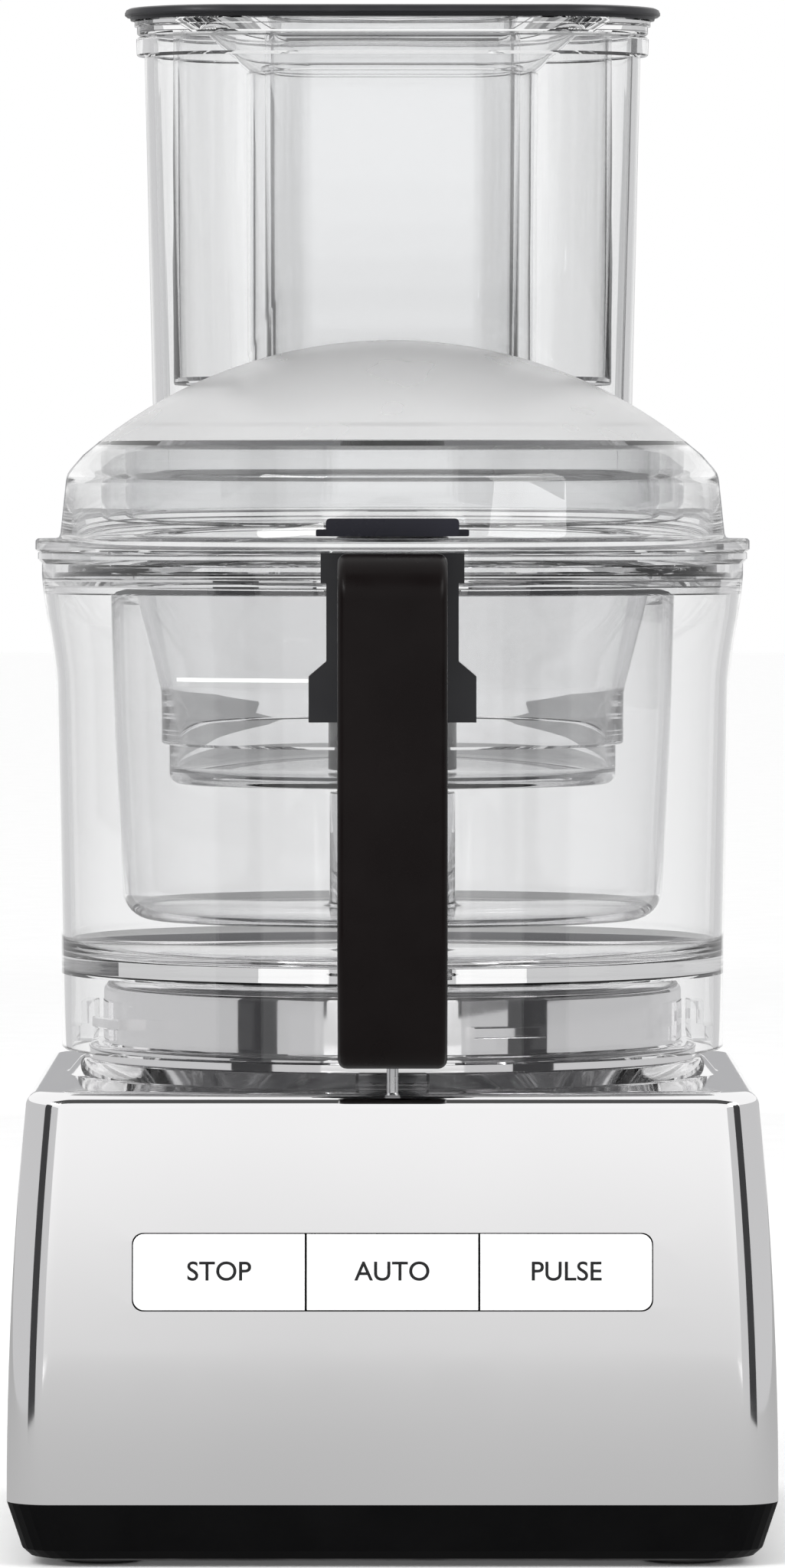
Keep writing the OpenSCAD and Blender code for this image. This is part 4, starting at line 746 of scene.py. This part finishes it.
# ---- pushers ----
# The large pusher is a clear hollow block with a passage through it for the small, frosted pusher. Its cover
# forms a funnel, and a dark rim on top is what the hand presses.
pusher_plastic = clear_plastic("pusher_plastic", (0.985, 0.986, 0.987))
pusher_low, pusher_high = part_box("large_pusher")
cover_low, cover_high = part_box("pusher_cover")
crown_low, crown_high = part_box("pusher_crown")
pusher_z = pusher_low[2]
pusher_end_r = (pusher_high[1] - pusher_low[1]) / 2
pusher_reach = (pusher_high[0] - pusher_low[0]) / 2 - pusher_end_r
pusher_wall = 0.0016
pusher_top = pusher_high[2]
passage_r = 0.017
passage_reach = 0.038 - passage_r
funnel_z = cover_low[2]
pusher = oval_prism("large_pusher_body", [
    (0.0, pusher_z), (pusher_end_r - 0.001, pusher_z), (pusher_end_r - 0.0003, pusher_z + 0.0003),
    (pusher_end_r, pusher_z + 0.001), (pusher_end_r, pusher_top), (pusher_end_r - pusher_wall, pusher_top),
    (pusher_end_r - pusher_wall, pusher_z + pusher_wall + 0.001),
    (pusher_end_r - pusher_wall - 0.001, pusher_z + pusher_wall), (0.0, pusher_z + pusher_wall)],
    lambda r, z: pusher_reach)
passage_block = oval_prism("passage_block", [
    (0.0, pusher_z + 0.0005), (passage_r + 0.0023, pusher_z + 0.0005), (passage_r + 0.0023, funnel_z),
    (0.0, funnel_z)], lambda r, z: passage_reach)
boolean(pusher, passage_block, "UNION")
passage_bore = oval_prism("passage_bore", [
    (0.0, pusher_z - 0.01), (passage_r, pusher_z - 0.01), (passage_r, funnel_z + 0.01), (0.0, funnel_z + 0.01)],
    lambda r, z: passage_reach)
boolean(pusher, passage_bore, "DIFFERENCE")
finish_piece(pusher, pusher_plastic, "large_pusher", "clear_plastic", "large_pusher", recalculate=False)

cover_z = pusher_top
cover_top = cover_high[2]
mouth_r = passage_r + 0.004
mouth_reach = 0.055 - mouth_r
plate_r = 0.029
plate_reach = 0.0714 - plate_r
mouth_split_r = 0.0255


def cover_spread(r, z):
    """The plate is long, and the funnel in it narrows downwards to the passage."""
    if r > mouth_split_r:
        return plate_reach
    return passage_reach + (mouth_reach - passage_reach) * (z - funnel_z) / (cover_top - funnel_z)


cover = oval_prism("pusher_cover_plate", [
    (passage_r, funnel_z), (passage_r + 0.0013, funnel_z), (mouth_r + 0.0004, cover_z + 0.0002),
    (plate_r - 0.0005, cover_z + 0.0002), (plate_r, cover_z + 0.0007), (plate_r, cover_z + 0.0025),
    (plate_r + 0.0007, cover_z + 0.0027), (plate_r + 0.0007, cover_top - 0.0004), (plate_r + 0.0003, cover_top),
    (mouth_r, cover_top), (passage_r, funnel_z)], cover_spread)
finish_piece(cover, pusher_plastic, "large_pusher", "clear_plastic", "pusher_cover")


def moulded(name, first, second, low, high, grain=900.0, depth=0.00003, **sockets):
    """An opaque moulded plastic with a fine grain."""
    material, tree, shader = new_material(name, **sockets)
    blend_colours(tree, shader, noise(tree, 45.0, 4.0), first, second)
    tree.links.new(span(tree, noise(tree, 90.0, 4.0), low, high), shader.inputs["Roughness"])
    bump(tree, shader, noise(tree, grain, 2.0), depth, 0.6)
    return material


crown_grey = moulded("pusher_rim_grey", (0.014, 0.014, 0.016), (0.020, 0.020, 0.023), 0.28, 0.40,
                     Specular_IOR_Level=0.25)
crown_r = (crown_high[1] - crown_low[1]) / 2
crown_reach = (crown_high[0] - crown_low[0]) / 2 - crown_r
crown_z, crown_top = crown_low[2], crown_high[2]
crown = oval_prism("pusher_rim", [
    (mouth_r + 0.0003, crown_z + 0.0003), (mouth_r + 0.0006, crown_z), (crown_r - 0.0016, crown_z),
    (crown_r - 0.0014, crown_z + 0.0009), (crown_r - 0.0006, crown_z + 0.0009), (crown_r, crown_z + 0.0014),
    (crown_r, crown_top - 0.0012), (crown_r - 0.0004, crown_top - 0.0004), (crown_r - 0.0012, crown_top),
    (mouth_r + 0.0013, crown_top), (mouth_r + 0.0005, crown_top - 0.0004), (mouth_r + 0.0003, crown_top - 0.001),
    (mouth_r + 0.0003, crown_z + 0.0003)], lambda r, z: crown_reach if r > mouth_split_r else mouth_reach)
finish_piece(crown, crown_grey, "large_pusher", "dark_grey_plastic", "pusher_crown")

small_low, small_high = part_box("small_pusher")
frosted = clear_plastic("frosted_plastic", (0.975, 0.976, 0.978), 0.02)
small_r = passage_r - 0.0014
small_reach = 0.0352 - small_r
small_z, small_top = small_low[2], small_high[2]
lip_z = funnel_z + 0.0005
small_wall = 0.0024
small = oval_prism("small_pusher_cup", [
    (0.0, small_z), (small_r - 0.0015, small_z), (small_r - 0.0004, small_z + 0.0004), (small_r, small_z + 0.0015),
    (small_r, lip_z), (passage_r - 0.0006, lip_z), (passage_r - 0.0003, lip_z + 0.0003),
    (passage_r - 0.0003, lip_z + 0.0015), (passage_r - 0.0006, lip_z + 0.0018), (small_r, lip_z + 0.0018),
    (small_r, small_top - 0.0006), (small_r - 0.0006, small_top), (small_r - small_wall + 0.0006, small_top),
    (small_r - small_wall, small_top - 0.0006), (small_r - small_wall, small_z + small_wall + 0.002),
    (small_r - small_wall - 0.002, small_z + small_wall), (0.0, small_z + small_wall)], lambda r, z: small_reach)
finish_piece(small, frosted, "small_pusher", "frosted_plastic", "small_pusher")

# ---- handle and lock tab ----
# The handle is a dark moulded strap that stands off the bowl, screwed to a grey bracket. The lid's dark lock
# tab lies over its upper end.
handle_brown = moulded("handle_plastic", (0.0035, 0.0022, 0.0022), (0.0050, 0.0034, 0.0034), 0.26, 0.34,
                       grain=500.0, depth=0.00001, Specular_IOR_Level=0.10)
grip_low, grip_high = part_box("handle_grip")
grip_top, grip_bottom = grip_high[2], grip_low[2]
grip_front, grip_back = grip_low[1], grip_high[1]
grip_w = grip_high[0] - grip_low[0]
grip_t = 0.015
grip_inner = grip_front + grip_t
bend = 0.012
heel_y = grip_front + 0.022
lean_top = grip_bottom + 0.030
arm_z = grip_top - 0.022
elbow_r = 0.008
side_view = [
    (grip_back - 0.0015, grip_top), (grip_front + bend, grip_top),
    *[(grip_front + bend - bend * math.sin(math.radians(a)), grip_top - bend + bend * math.cos(math.radians(a)))
      for a in range(10, 91, 10)],
    (grip_front, lean_top + 0.008), (grip_front + 0.0005, lean_top + 0.002), (grip_front + 0.0022, lean_top - 0.004),
    (heel_y - 0.005, grip_bottom + 0.0045), (heel_y - 0.003, grip_bottom + 0.0015), (heel_y, grip_bottom),
    (grip_back, grip_bottom), (grip_back, grip_bottom + 0.015), (heel_y + 0.007, grip_bottom + 0.015),
    (heel_y + 0.002, grip_bottom + 0.0175), (grip_inner + 0.0025, lean_top + 0.002),
    (grip_inner + 0.0005, lean_top + 0.006), (grip_inner, lean_top + 0.012), (grip_inner, arm_z - elbow_r),
    *[(grip_inner + elbow_r - elbow_r * math.cos(math.radians(a)),
       arm_z - elbow_r + elbow_r * math.sin(math.radians(a)))
      for a in range(15, 91, 15)],
    (grip_back - 0.0015, arm_z)]
bpy.ops.object.select_all(action="DESELECT")
bpy.ops.mesh.primitive_plane_add(size=0.001, location=(0.0, 0.0, 0.0))
grip = bpy.context.object
grip.name = "handle_strap"
bpy.ops.object.mode_set(mode="EDIT")
bpy.ops.mesh.select_all(action="SELECT")
bpy.ops.mesh.merge(type="CENTER")
bpy.ops.transform.translate(value=(-grip_w / 2, side_view[0][0], side_view[0][1]))
for here, there in zip(side_view, side_view[1:]):
    step = (0.0, there[0] - here[0], there[1] - here[1])
    bpy.ops.mesh.extrude_region_move(TRANSFORM_OT_translate={"value": step})
bpy.ops.mesh.select_all(action="SELECT")
bpy.ops.mesh.edge_face_add()
bpy.ops.mesh.extrude_region_move(TRANSFORM_OT_translate={"value": (grip_w, 0.0, 0.0)})
bpy.ops.object.mode_set(mode="OBJECT")
finish_piece(grip, handle_brown, "bowl", "handle_black", "handle_grip", smooth=40.0, bevel=0.0024, segments=5)

tab_low, tab_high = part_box("lock_tab")
tab_black = moulded("lock_tab_plastic", (0.009, 0.009, 0.013), (0.013, 0.013, 0.019), 0.25, 0.36,
                    Specular_IOR_Level=0.15)
tab_z = flange_top + 0.001
tab = rounded_bar("lock_tab_tongue", -0.0176, 0.0176, tab_z, tab_high[2], tab_low[1], spindle_y - 0.084, 0.001)
wings = rounded_bar("wings", -0.0203, 0.0203, tab_z, tab_z + 0.0018, tab_low[1] + 0.008, spindle_y - 0.086, 0.0004)
boolean(tab, wings, "UNION")
lid_clear = turned("lid_clear", [
    (0.0, tab_z - 0.01), (shell_side + 0.0004, tab_z - 0.01), (shell_side + 0.0004, tab_z + 0.02),
    (0.0, tab_z + 0.02)], steps=96)
boolean(tab, lid_clear, "DIFFERENCE")
finish_piece(tab, tab_black, "lid", "handle_black", "lock_tab", smooth=35.0, bevel=0.0006)

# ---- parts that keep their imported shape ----
# The tray, feet, gland, bracket, guide, rod, blades and everything inside the base are right as designed, so
# each takes only its own finish here.
def metal(name, first, second, low, high, stretch=(1.0, 1.0, 1.0), scale=300.0):
    """A bare or plated metal with a fine grain, drawn out along an axis where it was turned or ground."""
    material, tree, shader = new_material(name, Metallic=1.0)
    blend_colours(tree, shader, noise(tree, 30.0, 3.0), first, second)
    tree.links.new(span(tree, noise(tree, scale, 3.0, stretch), low, high), shader.inputs["Roughness"])
    bump(tree, shader, noise(tree, scale, 2.0, stretch), 0.00002, 0.4)
    return material


finishes = {
    "base_tray": moulded("tray_black", (0.0020, 0.0020, 0.0022), (0.0032, 0.0032, 0.0034), 0.38, 0.52,
                         Specular_IOR_Level=0.04),
    "cable_gland": moulded("gland_black", (0.012, 0.012, 0.012), (0.018, 0.018, 0.018), 0.45, 0.6),
    "rod_guide": moulded("guide_black", (0.012, 0.012, 0.013), (0.018, 0.018, 0.019), 0.4, 0.5),
    "safety_pin": metal("pin_steel", (0.58, 0.58, 0.59), (0.66, 0.66, 0.67), 0.2, 0.3),
    "feet": moulded("foot_rubber", (0.03, 0.03, 0.03), (0.045, 0.045, 0.045), 0.75, 0.9, 400.0, 0.0001),
    "shaft_seal": moulded("seal_rubber", (0.02, 0.02, 0.02), (0.03, 0.03, 0.03), 0.6, 0.75, 400.0, 0.0001),
    "motor_mounts": moulded("mount_rubber", (0.03, 0.03, 0.03), (0.05, 0.05, 0.05), 0.7, 0.85, 400.0, 0.0001),
    "handle_bracket": moulded("bracket_grey", (0.018, 0.018, 0.020), (0.024, 0.024, 0.026), 0.35, 0.45,
                              Specular_IOR_Level=0.2),
    "blade_hub": moulded("hub_black", (0.010, 0.010, 0.011), (0.016, 0.016, 0.018), 0.25, 0.35),
    "key_switches": moulded("switch_black", (0.02, 0.02, 0.02), (0.03, 0.03, 0.03), 0.4, 0.5),
    "safety_switch": moulded("safety_switch_black", (0.02, 0.02, 0.02), (0.03, 0.03, 0.03), 0.4, 0.5),
    "control_board": moulded("solder_mask_green", (0.01, 0.10, 0.035), (0.015, 0.14, 0.05), 0.25, 0.4),
    "run_capacitor": moulded("capacitor_white", (0.75, 0.75, 0.70), (0.80, 0.80, 0.76), 0.25, 0.35),
    "drive_shaft": metal("spindle_steel", (0.58, 0.58, 0.59), (0.66, 0.66, 0.67), 0.16, 0.30, (1.0, 1.0, 14.0)),
    "mini_blades": metal("blade_steel", (0.68, 0.68, 0.69), (0.76, 0.76, 0.77), 0.12, 0.26, (9.0, 1.0, 1.0)),
    "safety_rod": metal("rod_steel", (0.58, 0.58, 0.59), (0.66, 0.66, 0.67), 0.25, 0.38),
    "tray_screws": metal("screw_zinc", (0.60, 0.61, 0.62), (0.68, 0.68, 0.68), 0.30, 0.45),
    "motor_bolts": metal("bolt_zinc", (0.60, 0.61, 0.62), (0.68, 0.68, 0.68), 0.30, 0.45),
    "board_screws": metal("board_screw_zinc", (0.60, 0.61, 0.62), (0.68, 0.68, 0.68), 0.30, 0.45),
    "handle_screws": metal("handle_screw_zinc", (0.60, 0.61, 0.62), (0.68, 0.68, 0.68), 0.30, 0.45),
    "stator_core": metal("stator_steel", (0.22, 0.23, 0.25), (0.30, 0.31, 0.33), 0.4, 0.6, (1.0, 1.0, 40.0)),
    "rotor_core": metal("rotor_steel", (0.28, 0.29, 0.31), (0.36, 0.37, 0.39), 0.4, 0.6, (1.0, 1.0, 40.0)),
    "windings": metal("winding_copper", (0.62, 0.27, 0.12), (0.75, 0.36, 0.18), 0.3, 0.45, (1.0, 1.0, 20.0)),
    "lower_end_shield": metal("lower_shield_alloy", (0.55, 0.56, 0.57), (0.64, 0.64, 0.65), 0.4, 0.6),
    "upper_end_shield": metal("upper_shield_alloy", (0.55, 0.56, 0.57), (0.64, 0.64, 0.65), 0.4, 0.6),
    "cooling_fan": metal("fan_alloy", (0.60, 0.61, 0.62), (0.68, 0.68, 0.69), 0.35, 0.5),
    "bearing_outer_races": metal("outer_race_steel", (0.66, 0.66, 0.67), (0.74, 0.74, 0.75), 0.12, 0.2),
    "bearing_inner_races": metal("inner_race_steel", (0.66, 0.66, 0.67), (0.74, 0.74, 0.75), 0.12, 0.2),
    "bearing_balls": metal("ball_steel", (0.74, 0.74, 0.75), (0.80, 0.80, 0.81), 0.05, 0.1),
}
for node_name, material in finishes.items():
    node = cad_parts[node_name]
    node.data.materials.clear()
    node.data.materials.append(material)

# ---- rod's return spring ----
# A small steel coil lifts the safety rod again. On the machine its lower end stays on the bracket while the
# rod presses the upper end down; here the coil keeps its length and rides with the rod.
spring_low, spring_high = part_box("rod_spring")
wire_r = 0.0005
coil_turns = 5
coil_steps = 28
coil_r = (spring_high[0] - spring_low[0]) / 2 - wire_r
coil_l = spring_high[2] - spring_low[2]
coil_y = (spring_low[1] + spring_high[1]) / 2
bpy.ops.object.select_all(action="DESELECT")
bpy.ops.mesh.primitive_circle_add(vertices=10, radius=wire_r, location=(0.0, coil_y, spring_low[2] + wire_r))
spring = bpy.context.object
spring.name = "rod_coil"
bpy.ops.object.mode_set(mode="EDIT")
bpy.ops.mesh.select_all(action="SELECT")
bpy.ops.transform.rotate(value=UPRIGHT, orient_axis="X", center_override=(0.0, coil_y, spring_low[2] + wire_r))
bpy.ops.transform.translate(value=(coil_r, 0.0, 0.0))
bpy.ops.object.mode_set(mode="OBJECT")
winding = spring.modifiers.new("winding", "SCREW")
winding.iterations = coil_turns
winding.screw_offset = (coil_l - 2 * wire_r) / coil_turns
winding.steps = coil_steps
winding.render_steps = coil_steps
winding.use_smooth_shade = True
bpy.ops.object.modifier_apply(modifier=winding.name)
bpy.ops.object.transform_apply(location=True, rotation=True, scale=True)
bpy.ops.object.mode_set(mode="EDIT")
bpy.ops.mesh.select_all(action="SELECT")
bpy.ops.mesh.fill_holes(sides=0)
bpy.ops.object.mode_set(mode="OBJECT")
spring_steel = metal("spring_steel", (0.50, 0.50, 0.51), (0.58, 0.58, 0.59), 0.25, 0.38)
finish_piece(spring, spring_steel, "rod", "steel_fasteners", "rod_spring", smooth=50.0)
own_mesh(spring)
